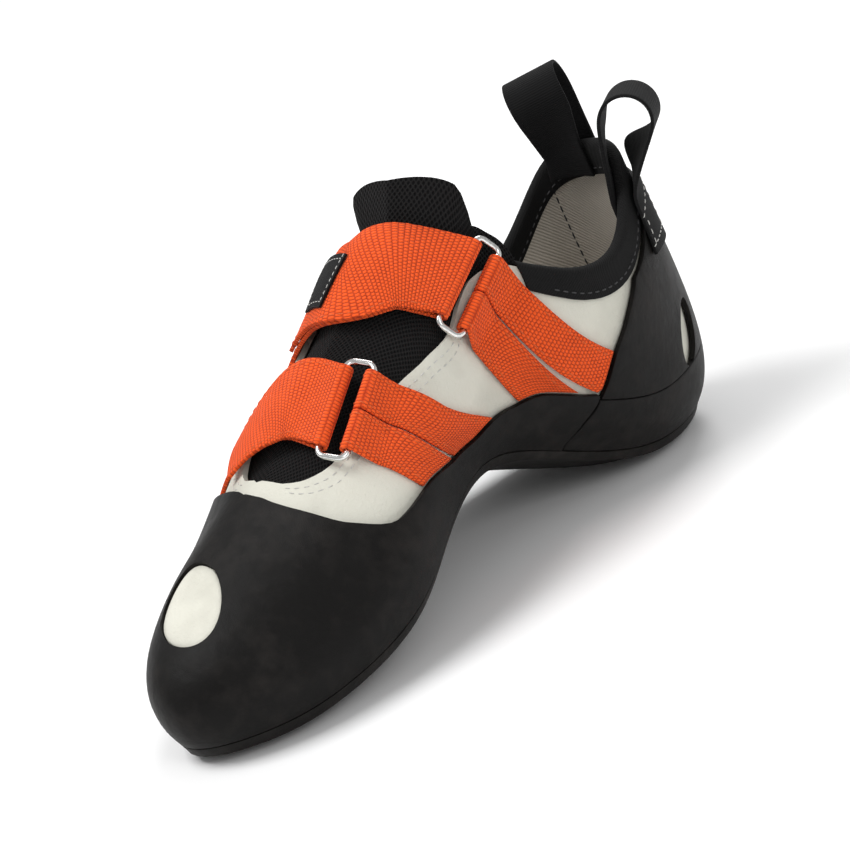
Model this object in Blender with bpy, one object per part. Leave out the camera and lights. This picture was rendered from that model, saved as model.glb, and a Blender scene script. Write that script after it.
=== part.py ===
"""Climbing shoe for the right foot, standing on its sole.

Metres, +Z up. The toe points along -Y and the inner side of the foot is +X.
The last is one surface: a ring place runs from the heel back (0) along the
inner side to the toe tip (1) and home along the outer side (2), and a height
runs from the feather line (0) up to the collar or the instep ridge (1).
Every piece is cut from that surface at its own distance outside it.
"""
import math
from collections import namedtuple

import bmesh
import bpy
import numpy as np
from mathutils import Vector
from mathutils.kdtree import KDTree

# Driving dimensions of the last
LENGTH = 0.245
BREADTH = 0.084
INSTEP = 0.106
HEEL_HEIGHT = 0.096
ARCH_RISE = 0.036

# Thicknesses
UPPER_WALL = 0.0018
RUBBER = 0.0018
SOLE = 0.0042
INSOLE = 0.0022
TONGUE = 0.0016
BINDING = 0.0010
WEBBING = 0.0013
TAPE = 0.0011
LABEL = 0.0007

# Clearance between pieces that touch on the real shoe, a little more where the walls stand on the sole
GAP = 0.0003
SOLE_GAP = 0.0005
TONGUE_GAP = 0.0008
RUBBER_GAP = 0.0007

# Widths and lengths of the trim
BINDING_WIDTH = 0.0080
STRAP_WIDTH = 0.0275
BAND_WIDTH = 0.0132
BAND_FORK = 0.0012
BAND_START = 0.0110
BINDING_END = 0.390
LOOP_WIDTH = 0.0185
LOOP_HEIGHT = 0.0290
LOOP_SPREAD = 0.0088
LOOP_LEG = 0.0230
LOOP_RISE = 0.0030
LABEL_WIDTH = 0.0175
LOBE_HEIGHT = 0.0160
LOBE_WIDTH = 0.0400
LOBE_LEAN = 0.35
LOBE_DROOP = 0.40
LOBE_BACK = 0.0215
RING_WIRE = 0.0020
RING_CORNER = 0.0026
TAIL_SLOPE = 0.6
RING_OPENING = 0.0068

# Tongue, in ring places and shares of the wall: front end, cover under the throat's edge, slant and reach at the back
TONGUE_FRONT = 0.862
TONGUE_UNDER = 0.06
LOBE_SLANT = 0.062
LOBE_REACH = 0.026

# Share of the welt that the sole's lower edge is drawn in
SOLE_DRAW = 0.45

# Heights outside the last at which the layers start
RUBBER_IN = UPPER_WALL + RUBBER_GAP
RUBBER_OUT = RUBBER_IN + RUBBER
FOLD = RING_WIRE / 2 + GAP + WEBBING / 2
WEB_HEIGHT = UPPER_WALL + GAP + WEBBING / 2
RING_HEIGHT = UPPER_WALL + 4 * GAP + WEBBING / 2 + FOLD

# Resolution
RING_STEPS = 28
WALL_ROWS = 8
BAND_ROWS = 11
OVAL_STEPS = 24
WINDOW_DEPTH = 0.0110
CLOSED_FROM = 0.5
DIFF = 1e-3
MERGE = 2e-6

Section = namedtuple(
    "Section",
    "place med_along med_across med_rise lat_along lat_across lat_rise sag "
    "top_along top_centre top_half top_instep med_heel lat_heel",
)
# along: share of LENGTH; across, centre and half: of BREADTH; rise and sag: of ARCH_RISE;
# top height: a share of INSTEP plus a share of HEEL_HEIGHT, which differs on the two sides of the collar
SECTIONS = [
    Section(0.00, 0.033, 0.000, 0.16, 0.033, 0.000, 0.16, 0.00, 0.066, 0.00, 0.00, 0.00, 1.00, 1.00),
    Section(0.10, 0.080, 0.200, 0.15, 0.080, -0.235, 0.15, 0.16, 0.088, 0.00, 0.19, 0.00, 0.98, 0.94),
    Section(0.22, 0.197, 0.275, 0.16, 0.197, -0.320, 0.14, 0.18, 0.165, 0.00, 0.34, 0.00, 0.78, 0.68),
    Section(0.36, 0.350, 0.240, 0.60, 0.335, -0.370, 0.29, 0.07, 0.310, 0.00, 0.33, 0.30, 0.50, 0.43),
    Section(0.50, 0.480, 0.250, 0.86, 0.457, -0.415, 0.46, 0.03, 0.425, 0.00, 0.00, 0.99, 0.00, 0.00),
    Section(0.63, 0.604, 0.375, 0.62, 0.563, -0.488, 0.42, 0.06, 0.547, 0.00, 0.00, 0.825, 0.00, 0.00),
    Section(0.75, 0.710, 0.475, 0.33, 0.661, -0.500, 0.28, 0.12, 0.653, 0.00, 0.00, 0.655, 0.00, 0.00),
    Section(0.87, 0.837, 0.460, 0.14, 0.784, -0.333, 0.14, 0.17, 0.759, 0.024, 0.00, 0.505, 0.00, 0.00),
    Section(0.95, 0.935, 0.365, 0.11, 0.898, -0.095, 0.11, 0.115, 0.833, 0.071, 0.00, 0.425, 0.00, 0.00),
    Section(1.00, 0.978, 0.175, 0.12, 0.978, 0.175, 0.12, 0.00, 0.857, 0.095, 0.00, 0.39, 0.00, 0.00),
]

Wall = namedtuple(
    "Wall",
    "place med_low_out med_low_up med_high_out med_high_down "
    "lat_low_out lat_low_up lat_high_out lat_high_down",
)
# out: share of BREADTH; up and down: share of INSTEP
WALLS = [
    Wall(0.00, 0.12, 0.12, 0.07, 0.32, 0.12, 0.12, 0.07, 0.32),
    Wall(0.10, 0.12, 0.12, 0.05, 0.28, 0.12, 0.12, 0.05, 0.28),
    Wall(0.22, 0.12, 0.13, 0.05, 0.21, 0.12, 0.13, 0.05, 0.21),
    Wall(0.36, 0.11, 0.13, 0.08, 0.16, 0.11, 0.13, 0.10, 0.15),
    Wall(0.50, 0.11, 0.15, 0.30, 0.04, 0.10, 0.15, 0.36, 0.04),
    Wall(0.63, 0.10, 0.17, 0.32, 0.02, 0.08, 0.13, 0.38, 0.03),
    Wall(0.75, 0.09, 0.20, 0.29, 0.02, 0.08, 0.13, 0.29, 0.03),
    Wall(0.87, 0.09, 0.20, 0.25, 0.02, 0.09, 0.13, 0.19, 0.04),
    Wall(0.95, 0.10, 0.18, 0.22, 0.03, 0.10, 0.15, 0.18, 0.04),
    Wall(1.00, 0.12, 0.16, 0.18, 0.05, 0.12, 0.16, 0.18, 0.05),
]

Edge = namedtuple("Edge", "place medial lateral")
# Top of the upper's wall: collar up to 0.35, then the throat, closed ridge from 0.85
THROAT = [
    Edge(0.00, 1.00, 1.00), Edge(0.34, 1.00, 1.00), Edge(0.385, 0.96, 0.97),
    Edge(0.42, 0.84, 0.88), Edge(0.46, 0.69, 0.79), Edge(0.50, 0.57, 0.72),
    Edge(0.54, 0.52, 0.69), Edge(0.60, 0.57, 0.70), Edge(0.65, 0.63, 0.73),
    Edge(0.71, 0.67, 0.76), Edge(0.77, 0.69, 0.78), Edge(0.805, 0.75, 0.82),
    Edge(0.83, 0.85, 0.89), Edge(0.845, 1.00, 1.00), Edge(1.00, 1.00, 1.00),
]
# Top of the front rubber: band along the arch, then up over the toe box
RAND = [
    Edge(0.30, 0.36, 0.34), Edge(0.335, 0.355, 0.335), Edge(0.375, 0.33, 0.32),
    Edge(0.435, 0.225, 0.27), Edge(0.51, 0.155, 0.24), Edge(0.59, 0.22, 0.26),
    Edge(0.665, 0.305, 0.31), Edge(0.735, 0.335, 0.37), Edge(0.795, 0.48, 0.55),
    Edge(0.835, 0.67, 0.78), Edge(0.855, 0.81, 0.92), Edge(0.87, 1.00, 1.00),
    Edge(1.00, 1.00, 1.00),
]
# Seam between the heel cup and the tensioned band above it
CUP = [Edge(0.00, 0.270, 0.270), Edge(0.20, 0.295, 0.295), Edge(0.32, 0.34, 0.34), Edge(0.40, 0.34, 0.34)]

Front = namedtuple("Front", "height place")
# Front edge of the tensioned band, from the cup's seam up to the collar
BAND_FRONT = [Front(0.30, 0.308), Front(0.42, 0.300), Front(0.57, 0.290), Front(0.72, 0.268), Front(1.00, 0.215)]
# Where the heel cup meets the front rubber, from the sole upward
CUP_FRONT = [Front(0.0, 0.345), Front(0.5, 0.326), Front(1.0, 0.308)]

Window = namedtuple("Window", "place height wide long lean")
# wide and long in metres; lean: degrees that the long axis tips toward the heel back at its top
HEEL_WINDOW = Window(0.135, 0.400, 0.125 * HEEL_HEIGHT, 0.23 * HEEL_HEIGHT, 25.0)
TOE_WINDOW = Window(0.993, 0.783, 0.262 * BREADTH, 0.405 * BREADTH, -37.0)

Station = namedtuple("Station", "place height lift")
# Straps from the outer side (height past 1) over the ridge to the ring; lift in layers of webbing
UPPER_STRAP = [
    Station(0.592, 1.80, 0), Station(0.590, 1.35, 0), Station(0.592, 1.15, 0), Station(0.588, 1.00, 0),
    Station(0.550, 0.82, 0),
]
UPPER_RETURN = [Station(0.550, 0.82, 1), Station(0.588, 1.00, 1), Station(0.592, 1.15, 1), Station(0.590, 1.32, 1)]
LOWER_STRAP = [Station(0.735, 1.70, 0), Station(0.735, 1.30, 0), Station(0.733, 1.00, 0), Station(0.730, 0.90, 0)]
LOWER_RETURN = [Station(0.730, 0.90, 1), Station(0.737, 1.00, 1), Station(0.752, 1.14, 1), Station(0.770, 1.30, 1)]

Ring = namedtuple("Ring", "high_place high_height low_place low_height")
UPPER_RING = Ring(0.425, 0.80, 0.530, 0.47)
LOWER_RING = Ring(0.675, 0.79, 0.770, 0.70)

# Middle of the pair of short bands behind each ring, down to the rubber
UPPER_BANDS = [Station(0.373, 0.460, 0), Station(0.303, 0.330, 0)]
LOWER_BANDS = [Station(0.650, 0.415, 0), Station(0.485, -0.060, 0)]

Loop = namedtuple("Loop", "name place height spread heading lean_out lean_side inside")
# height: share of LOOP_HEIGHT; spread: of LOOP_SPREAD; inside: of LOOP_LEG;
# heading: degrees from +X toward +Y that the flat side faces
LOOPS = [
    Loop("pull_loop_inner", 0.130, 0.98, 1.02, 34.0, 0.40, 0.05, 0.52),
    Loop("pull_loop_outer", 1.958, 0.99, 0.97, 128.0, 0.00, 0.24, 0.30),
]

Finish = namedtuple("Finish", "red green blue roughness metallic")
FINISHES = {
    "microfibre": Finish(0.83, 0.83, 0.80, 0.65, 0.0),
    "orange_webbing": Finish(0.90, 0.22, 0.05, 0.75, 0.0),
    "black_rubber": Finish(0.035, 0.034, 0.033, 0.55, 0.0),
    "sole_rubber": Finish(0.045, 0.043, 0.042, 0.60, 0.0),
    "stretch_mesh": Finish(0.020, 0.020, 0.022, 0.90, 0.0),
    "black_binding": Finish(0.030, 0.029, 0.028, 0.70, 0.0),
    "footbed_board": Finish(0.45, 0.44, 0.42, 0.85, 0.0),
    "steel_wire": Finish(0.70, 0.70, 0.70, 0.25, 1.0),
    "label_cloth": Finish(0.020, 0.020, 0.020, 0.80, 0.0),
}


def clear_scene():
    """Remove every object that is already in the file."""
    for old in list(bpy.data.objects):
        bpy.data.objects.remove(old, do_unlink=True)


def new_collection(name):
    """A collection linked into the scene."""
    group = bpy.data.collections.new(name)
    bpy.context.scene.collection.children.link(group)
    return group


def material(name):
    """Principled material made from the finish of the same name."""
    found = bpy.data.materials.get(name)
    if found:
        return found
    finish = FINISHES[name]
    made = bpy.data.materials.new(name)
    made.use_nodes = True
    shader = made.node_tree.nodes["Principled BSDF"]
    shader.inputs["Base Color"].default_value = (finish.red, finish.green, finish.blue, 1.0)
    shader.inputs["Roughness"].default_value = finish.roughness
    shader.inputs["Metallic"].default_value = finish.metallic
    return made


def ring_spline(places, medial, lateral):
    """Smooth periodic curve through values on the inner side and back along the outer side."""
    knots = np.concatenate([places, 2 - np.array(places)[-2:0:-1]])
    values = np.concatenate([medial, np.array(lateral)[-2:0:-1]])
    count = len(knots)
    steps = np.diff(np.append(knots, 2.0))
    matrix = np.zeros((count, count))
    known = np.zeros(count)
    for i in range(count):
        before = steps[i - 1]
        after = steps[i]
        nxt = (i + 1) % count
        matrix[i, i - 1] += before
        matrix[i, i] += 2 * (before + after)
        matrix[i, nxt] += after
        known[i] = 6 * ((values[nxt] - values[i]) / after - (values[i] - values[i - 1]) / before)
    bend = np.linalg.solve(matrix, known)

    def curve(place):
        place = np.mod(np.asarray(place, float), 2.0)
        i = np.clip(np.searchsorted(knots, place, side="right") - 1, 0, count - 1)
        nxt = (i + 1) % count
        step = steps[i]
        right = (place - knots[i]) / step
        left = 1 - right
        return (left * values[i] + right * values[nxt]
                + ((left ** 3 - left) * bend[i] + (right ** 3 - right) * bend[nxt]) * step * step / 6)
    return curve


def table_curve(rows, column, scale, lateral_column=None, lateral_sign=1.0):
    """Ring curve through one column of a table, or two where the sides differ."""
    medial = [getattr(row, column) * scale for row in rows]
    lateral = [getattr(row, lateral_column or column) * scale * lateral_sign for row in rows]
    return ring_spline([row.place for row in rows], medial, lateral)


def make_last():
    """All curves of the last, in metres."""
    last = {}
    for name, scale in (("along", LENGTH), ("across", BREADTH), ("rise", ARCH_RISE)):
        last[name] = table_curve(SECTIONS, "med_" + name, scale, "lat_" + name)
    last["sag"] = table_curve(SECTIONS, "sag", ARCH_RISE)
    last["top_along"] = table_curve(SECTIONS, "top_along", LENGTH)
    last["top_centre"] = table_curve(SECTIONS, "top_centre", BREADTH)
    last["top_half"] = table_curve(SECTIONS, "top_half", BREADTH, lateral_sign=-1.0)
    last["top_instep"] = table_curve(SECTIONS, "top_instep", INSTEP)
    last["top_heel"] = table_curve(SECTIONS, "med_heel", HEEL_HEIGHT, "lat_heel")
    for name, scale in (("low_out", BREADTH), ("low_up", INSTEP), ("high_out", BREADTH), ("high_down", INSTEP)):
        last[name] = table_curve(WALLS, "med_" + name, scale, "lat_" + name)
    return last


LAST = make_last()


def steady(places, rows, column):
    """Curve through a short table that never overshoots its rows."""
    knots = np.array([row[0] for row in rows])
    values = np.array([getattr(row, column) for row in rows])
    slopes = np.diff(values) / np.diff(knots)
    tangent = np.zeros(len(knots))
    same = slopes[:-1] * slopes[1:] > 0
    tangent[1:-1][same] = 2 * slopes[:-1][same] * slopes[1:][same] / (slopes[:-1][same] + slopes[1:][same])
    places = np.clip(np.asarray(places, float), knots[0], knots[-1])
    i = np.clip(np.searchsorted(knots, places, side="right") - 1, 0, len(knots) - 2)
    step = knots[i + 1] - knots[i]
    u = (places - knots[i]) / step
    return (values[i] * (2 * u ** 3 - 3 * u ** 2 + 1) + values[i + 1] * (3 * u ** 2 - 2 * u ** 3)
            + step * (tangent[i] * (u ** 3 - 2 * u ** 2 + u) + tangent[i + 1] * (u ** 3 - u ** 2)))


def edge_height(rows, ring_place):
    """Height of an edge table at ring places on either side."""
    folded = np.mod(np.asarray(ring_place, float), 2.0)
    lateral = folded > 1.0
    share = np.where(lateral, 2.0 - folded, folded)
    return np.where(lateral, steady(share, rows, "lateral"), steady(share, rows, "medial"))


def feather(ring_place):
    """Points of the feather line, where the wall meets the sole."""
    return np.stack([
        LAST["across"](ring_place),
        -LAST["along"](ring_place),
        SOLE + SOLE_GAP + LAST["rise"](ring_place),
    ], -1)


def outward(ring_place):
    """Level unit direction out of the outline."""
    along = feather(ring_place + DIFF) - feather(ring_place - DIFF)
    out = np.stack([-along[..., 1], along[..., 0], np.zeros_like(along[..., 0])], -1)
    return out / np.linalg.norm(out, axis=-1, keepdims=True)


def wall_point(ring_place, height):
    """Points of the last's surface; past height 1 the closed part runs down the other side."""
    ring_place = np.asarray(ring_place, float)
    height = np.asarray(height, float)
    folded = np.mod(ring_place, 2.0)
    share = np.where(folded > 1.0, 2.0 - folded, folded)
    closed = share >= CLOSED_FROM
    over = closed & (height > 1.0)
    ring_place = np.where(over, 2.0 - ring_place, ring_place)
    height = np.where(over, 2.0 - height, height)
    foot = feather(ring_place)
    out = outward(ring_place)
    up = np.array([0.0, 0.0, 1.0])
    crest = np.where(closed, share, ring_place)
    half = np.where(closed, 0.0, LAST["top_half"](ring_place))
    top = np.stack([
        LAST["top_centre"](crest) + half,
        -LAST["top_along"](crest),
        LAST["top_instep"](crest) + LAST["top_heel"](crest),
    ], -1)
    low = foot + out * LAST["low_out"](ring_place)[..., None] + up * LAST["low_up"](ring_place)[..., None]
    high = top + out * LAST["high_out"](ring_place)[..., None] - up * LAST["high_down"](ring_place)[..., None]
    w = height[..., None]
    return (1 - w) ** 3 * foot + 3 * (1 - w) ** 2 * w * low + 3 * (1 - w) * w ** 2 * high + w ** 3 * top


def one_normal(ring_place, height):
    """Outward unit normal of one side of the wall."""
    height = np.clip(height, 0.0, 1.0 - 12 * DIFF)
    along = wall_point(ring_place + DIFF, height) - wall_point(ring_place - DIFF, height)
    rising = wall_point(ring_place, height + DIFF) - wall_point(ring_place, height - DIFF)
    normal = np.cross(rising, along)
    return normal / np.maximum(np.linalg.norm(normal, axis=-1, keepdims=True), 1e-12)


def wall_normal(ring_place, height):
    """Outward unit normal, shared by both sides where they meet on the ridge."""
    ring_place = np.asarray(ring_place, float)
    height = np.asarray(height, float)
    folded = np.mod(ring_place, 2.0)
    share = np.where(folded > 1.0, 2.0 - folded, folded)
    over = (share >= CLOSED_FROM) & (height > 1.0)
    place = np.where(over, 2.0 - ring_place, ring_place)
    level = np.where(over, 2.0 - height, height)
    own = one_normal(place, level)
    other = one_normal(2.0 - place, level)
    blend = np.clip((level - 0.90) / 0.10, 0.0, 1.0) * 0.5 * (share >= CLOSED_FROM)
    normal = own * (1 - blend[..., None]) + other * blend[..., None]
    return normal / np.linalg.norm(normal, axis=-1, keepdims=True)


def lifted(ring_place, height, lift):
    """Points at a distance outside the last."""
    lift = np.asarray(lift, float)
    return wall_point(ring_place, height) + wall_normal(ring_place, height) * lift[..., None]


def wall_length(ring_place):
    """Length of the wall from the feather line to its top."""
    ring_place = np.asarray(ring_place, float)
    rows = np.linspace(0.0, 1.0, 17)
    line = np.stack([wall_point(ring_place, np.full_like(ring_place, row)) for row in rows], 0)
    return np.linalg.norm(np.diff(line, axis=0), axis=-1).sum(0)


def solid(name, points, faces, finish, group):
    """Closed mesh object from points and faces; faces that meet back to back are dropped."""
    near = KDTree(len(points))
    for number, point in enumerate(points):
        near.insert(point, number)
    near.balance()
    index = [min(found[1] for found in near.find_range(point, MERGE)) for point in points]
    kept = [tuple(float(value) for value in point) for point in points]
    by_corners = {}
    for face in faces:
        corners = []
        for corner in face:
            if index[corner] not in corners:
                corners.append(index[corner])
        if len(corners) > 2:
            by_corners.setdefault(frozenset(corners), []).append(corners)
    single = [same[0] for same in by_corners.values() if len(same) % 2]
    mesh = bpy.data.meshes.new(name)
    mesh.from_pydata(kept, [], single)
    sheet = bmesh.new()
    sheet.from_mesh(mesh)
    loose = [vert for vert in sheet.verts if not vert.link_faces]
    bmesh.ops.delete(sheet, geom=loose, context="VERTS")
    bmesh.ops.recalc_face_normals(sheet, faces=sheet.faces)
    sheet.to_mesh(mesh)
    sheet.free()
    mesh.shade_smooth()
    mesh.set_sharp_from_angle(angle=math.radians(45))
    mesh.materials.append(material(finish))
    made = bpy.data.objects.new(name, mesh)
    group.objects.link(made)
    return made


def between(name, inner, outer, finish, group, wrap=False):
    """Solid between two sheets of the same grid, closed all round its edge; both sheets share their diagonals."""
    rows, columns = inner.shape[:2]
    points = np.concatenate([inner.reshape(-1, 3), outer.reshape(-1, 3)])
    shift = rows * columns

    def at(i, j, side):
        return (i % rows) * columns + j + side * shift
    faces = []
    last_row = rows if wrap else rows - 1
    for i in range(last_row):
        for j in range(columns - 1):
            for side in (0, 1):
                faces.append((at(i, j, side), at(i + 1, j, side), at(i + 1, j + 1, side)))
                faces.append((at(i, j, side), at(i + 1, j + 1, side), at(i, j + 1, side)))
        for j in (0, columns - 1):
            faces.append((at(i, j, 0), at(i + 1, j, 0), at(i + 1, j, 1), at(i, j, 1)))
    if not wrap:
        for i in (0, rows - 1):
            for j in range(columns - 1):
                faces.append((at(i, j, 0), at(i, j + 1, 0), at(i, j + 1, 1), at(i, j, 1)))
    return solid(name, points, faces, finish, group)


def patch(name, places, heights, low, high, finish, group, wrap=False):
    """Piece of wall over a grid of ring places and heights, between two distances from the last."""
    inner = lifted(places, heights, np.full(places.shape, low))
    outer = lifted(places, heights, np.full(places.shape, high))
    return between(name, inner, outer, finish, group, wrap)


def ribbon(name, middle, thickness, finish, group):
    """Solid of even thickness on both sides of a middle sheet."""
    along = np.gradient(middle, axis=0)
    across = np.gradient(middle, axis=1)
    normal = np.cross(along, across)
    normal /= np.linalg.norm(normal, axis=-1, keepdims=True)
    return between(name, middle - normal * thickness / 2, middle + normal * thickness / 2, finish, group)


def side_places():
    """Ring places of one side from the heel back to the toe tip, closer where edges turn and at the tip."""
    extra = [0.385, 0.8167, 0.8450, 0.855, 0.87, 0.95, 0.9737, 0.9825, 0.9912]
    return np.unique(np.round(np.concatenate([np.linspace(0.0, 1.0, RING_STEPS + 1), extra]), 4))


def both_sides(side):
    """The same places on the inner side and back along the outer side."""
    return np.concatenate([side, 2.0 - side[-2:0:-1]])


def subtract(target, cutter):
    """Cut one mesh object by another."""
    cut = target.modifiers.new(cutter.name, "BOOLEAN")
    cut.operation = "DIFFERENCE"
    cut.solver = "EXACT"
    cut.object = cutter
    cutter.hide_render = True
    cutter.display_type = "WIRE"


def build_upper(group):
    """Hollow wall, open at the collar, the throat and underneath."""
    places = both_sides(side_places())
    share = np.linspace(0.0, 1.0, WALL_ROWS + 1)
    top = edge_height(THROAT, places)
    return patch("upper", np.repeat(places[:, None], len(share), 1), top[:, None] * share[None, :],
                 0.0, UPPER_WALL, "microfibre", group, wrap=True)


def build_rand(group, cutters):
    """Front rubber: toe box and both side bands in one, with an oval window over the big toe."""
    share = np.linspace(0.0, 1.0, WALL_ROWS + 1)
    start = steady(share, CUP_FRONT, "place") + GAP / LENGTH
    side = side_places()
    side = side[side > start.max() + 0.02]
    between_rows = (start + side[0]) / 2
    columns = np.concatenate([[start, between_rows], np.repeat(side[:, None], len(share), 1)])
    places = np.concatenate([columns, 2.0 - columns[-2::-1]])
    heights = edge_height(RAND, places) * share[None, :]
    rand = patch("rand", places, heights, RUBBER_IN, RUBBER_OUT, "black_rubber", group)
    subtract(rand, oval_cutter("cut_toe_window", TOE_WINDOW, cutters))
    return rand


def round_heel(share, reach, even_to):
    """Columns round the heel: even ones at the back, then slanted ones out to a front edge."""
    side = side_places()
    side = side[side <= even_to + DIFF]
    even = np.repeat(side[:, None], len(share), 1)
    steps = np.linspace(0.0, 1.0, 6)[1:, None]
    slanted = side[-1] + (reach - side[-1]) * steps
    half = np.concatenate([even, slanted])
    return np.concatenate([-half[:0:-1], half])


def build_heel_cup(group):
    """Rubber shell round the heel, below the tensioned band."""
    share = np.linspace(0.0, 1.0, 6)
    places = round_heel(share, steady(share, CUP_FRONT, "place"), 0.25)
    heights = (edge_height(CUP, places) - GAP / 2 / wall_length(places)) * share[None, :]
    return patch("heel_cup", places, heights, RUBBER_IN, RUBBER_OUT, "black_rubber", group)


def oval_cutter(name, window, group):
    """Straight oval plug through the rubber, square to the wall at its middle."""
    place = np.array(window.place)
    height = np.array(window.height)
    normal = wall_normal(place, height)
    rising = wall_point(place, height + DIFF) - wall_point(place, height - DIFF)
    rising /= np.linalg.norm(rising)
    heelward = np.cross(normal, rising)
    heelward *= math.copysign(1.0, heelward[1])
    lean = math.radians(window.lean)
    tip = rising * math.cos(lean) + heelward * math.sin(lean)
    flank = np.cross(normal, tip)
    turn = np.linspace(0.0, 2 * math.pi, OVAL_STEPS + 1)[:-1, None]
    rim = tip * np.sin(turn) * window.long / 2 + flank * np.cos(turn) * window.wide / 2
    sheet = lifted(place, height, RUBBER_OUT) + np.stack([0 * rim, rim], 1)
    return between(name, sheet - normal * WINDOW_DEPTH, sheet + normal * WINDOW_DEPTH, "black_rubber", group, True)


def build_heel_band(group, cutters):
    """Tensioned band round the heel, up to the collar, with a window on each side of the back strip."""
    share = np.linspace(0.0, 1.0, 8)
    rough = round_heel(share, np.full(share.shape, BAND_FRONT[0].place), 0.1667)
    base = edge_height(CUP, rough) + GAP / 2 / wall_length(rough)
    ceiling = 1.0 - (BINDING_WIDTH + GAP) / wall_length(rough)
    heights = base + (ceiling - base) * share[None, :]
    places = round_heel(share, steady(heights[-1], BAND_FRONT, "place"), 0.1667)
    band = patch("heel_band", places, heights, RUBBER_IN, RUBBER_OUT, "black_rubber", group)
    for name, window in (
        ("cut_window_inner", HEEL_WINDOW),
        ("cut_window_outer", HEEL_WINDOW._replace(place=-HEEL_WINDOW.place)),
    ):
        subtract(band, oval_cutter(name, window, cutters))
    return band


def sole_columns(place, lift, inset):
    """One cross row of the sole's top, from the inner to the outer edge."""
    shares = np.array([0.0, 0.14, 0.32, 0.5, 0.68, 0.86, 1.0])
    inner = feather(np.array(place)) - outward(np.array(place)) * inset
    outer = feather(np.array(2.0 - place)) - outward(np.array(2.0 - place)) * inset
    row = inner[None, :] + (outer - inner)[None, :] * shares[:, None]
    row[:, 2] += lift - float(LAST["sag"](place)) * 4 * shares * (1 - shares)
    return row


def welt_edge(place):
    """Lower outer corner of the wall and its rubber, a gap above the sole's own edge."""
    foot = lifted(np.array(place), np.array(0.0), np.array(RUBBER_OUT))
    rising = wall_point(np.array(place), np.array(0.02)) - wall_point(np.array(place), np.array(0.0))
    return foot - rising / np.linalg.norm(rising) * SOLE_GAP


def sole_places(steps):
    """Cross rows from the heel back to the toe tip, closer together at both ends."""
    turn = np.linspace(0.0, math.pi, steps + 1)
    even = np.linspace(0.0, 1.0, steps + 1)
    return 0.55 * even + 0.45 * (1 - np.cos(turn)) / 2


def build_outsole(group):
    """One sheet of rubber under the whole last, flat where heel and forefoot stand."""
    top_rows = []
    for place in sole_places(30):
        row = sole_columns(place, -SOLE_GAP, 0.0)
        top_rows.append(np.concatenate([[welt_edge(place)], row, [welt_edge(2.0 - place)]]))
    top = np.array(top_rows)
    bottom = top.copy()
    bottom[:, 0] += (bottom[:, 1] - bottom[:, 0]) * SOLE_DRAW
    bottom[:, -1] += (bottom[:, -2] - bottom[:, -1]) * SOLE_DRAW
    bottom[..., 2] = np.maximum(bottom[..., 2] - SOLE, 0.0)
    return between("outsole", bottom, top, "sole_rubber", group)


def build_insole(group):
    """Board and footbed inside, a gap above the outsole."""
    low = np.array([sole_columns(place, GAP, 2 * GAP) for place in sole_places(22)])
    high = np.array([sole_columns(place, GAP + INSOLE, 2 * GAP) for place in sole_places(22)])
    return between("insole", low, high, "footbed_board", group)


def ease(value):
    """Soft step from 0 to 1."""
    value = np.clip(value, 0.0, 1.0)
    return value * value * (3 - 2 * value)


def build_tongue(group):
    """Stretch mesh under the throat's edges, with a broad lobe past the collar's front."""
    side = np.linspace(-1.0, 1.0, 13)
    reach = np.abs(side)
    lean = np.array([0.0, LOBE_LEAN, 1.0]) / math.hypot(LOBE_LEAN, 1.0)

    def row(place, lift):
        slant = LOBE_SLANT * np.maximum(side, 0.0) * (TONGUE_FRONT - place) / (TONGUE_FRONT - CLOSED_FROM)
        ring = np.where(side < 0, 2.0 - place, place - slant)
        edge = np.minimum(edge_height(THROAT, ring), 1.0 - TONGUE_UNDER)
        return lifted(ring, 1.0 - reach * (1.0 - edge + TONGUE_UNDER), np.full(side.shape, lift))
    places = side_places()
    places = places[(places > CLOSED_FROM - DIFF) & (places < TONGUE_FRONT)][::-1]
    grids = []
    for lift in (-TONGUE_GAP - TONGUE, -TONGUE_GAP):
        rows = [row(place, lift) for place in places]
        base = rows[-1]
        crest = base[len(side) // 2]
        wing = ease((reach - 0.50) / 0.25)[:, None]
        drop = -LOBE_DROOP * reach ** 2 * LOBE_WIDTH
        back = np.maximum(side, 0.0) * LOBE_BACK
        flat = crest[None, :] + np.stack([side / 0.57 * LOBE_WIDTH / 2, back, drop], -1)
        crown = LOBE_HEIGHT * np.clip(1 - (reach / 0.70) ** 5, 0.0, 1.0) ** 0.5
        for step in (0.3, 0.6, 0.85, 1.0):
            lobe = base * (1 - step) + flat * step + lean[None, :] * (crown * step)[:, None]
            follow = row(CLOSED_FROM - LOBE_REACH * step, lift)
            rows.append(lobe * (1 - wing) + follow * wing)
        grids.append(np.array(rows))
    return between("tongue", grids[0], grids[1], "stretch_mesh", group)


def march(place, height, direction, distance):
    """Walk over the wall in a direction and give the new ring place and height."""
    parts = 4
    for _ in range(parts):
        along = (wall_point(place + DIFF, height) - wall_point(place - DIFF, height)) / (2 * DIFF)
        rising = (wall_point(place, height + DIFF) - wall_point(place, height - DIFF)) / (2 * DIFF)
        basis = np.array([[along @ along, along @ rising], [along @ rising, rising @ rising]])
        step = direction * distance / parts
        move = np.linalg.solve(basis, np.array([along @ step, rising @ step]))
        place = place + move[0]
        height = height + move[1]
    return place, height


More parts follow.
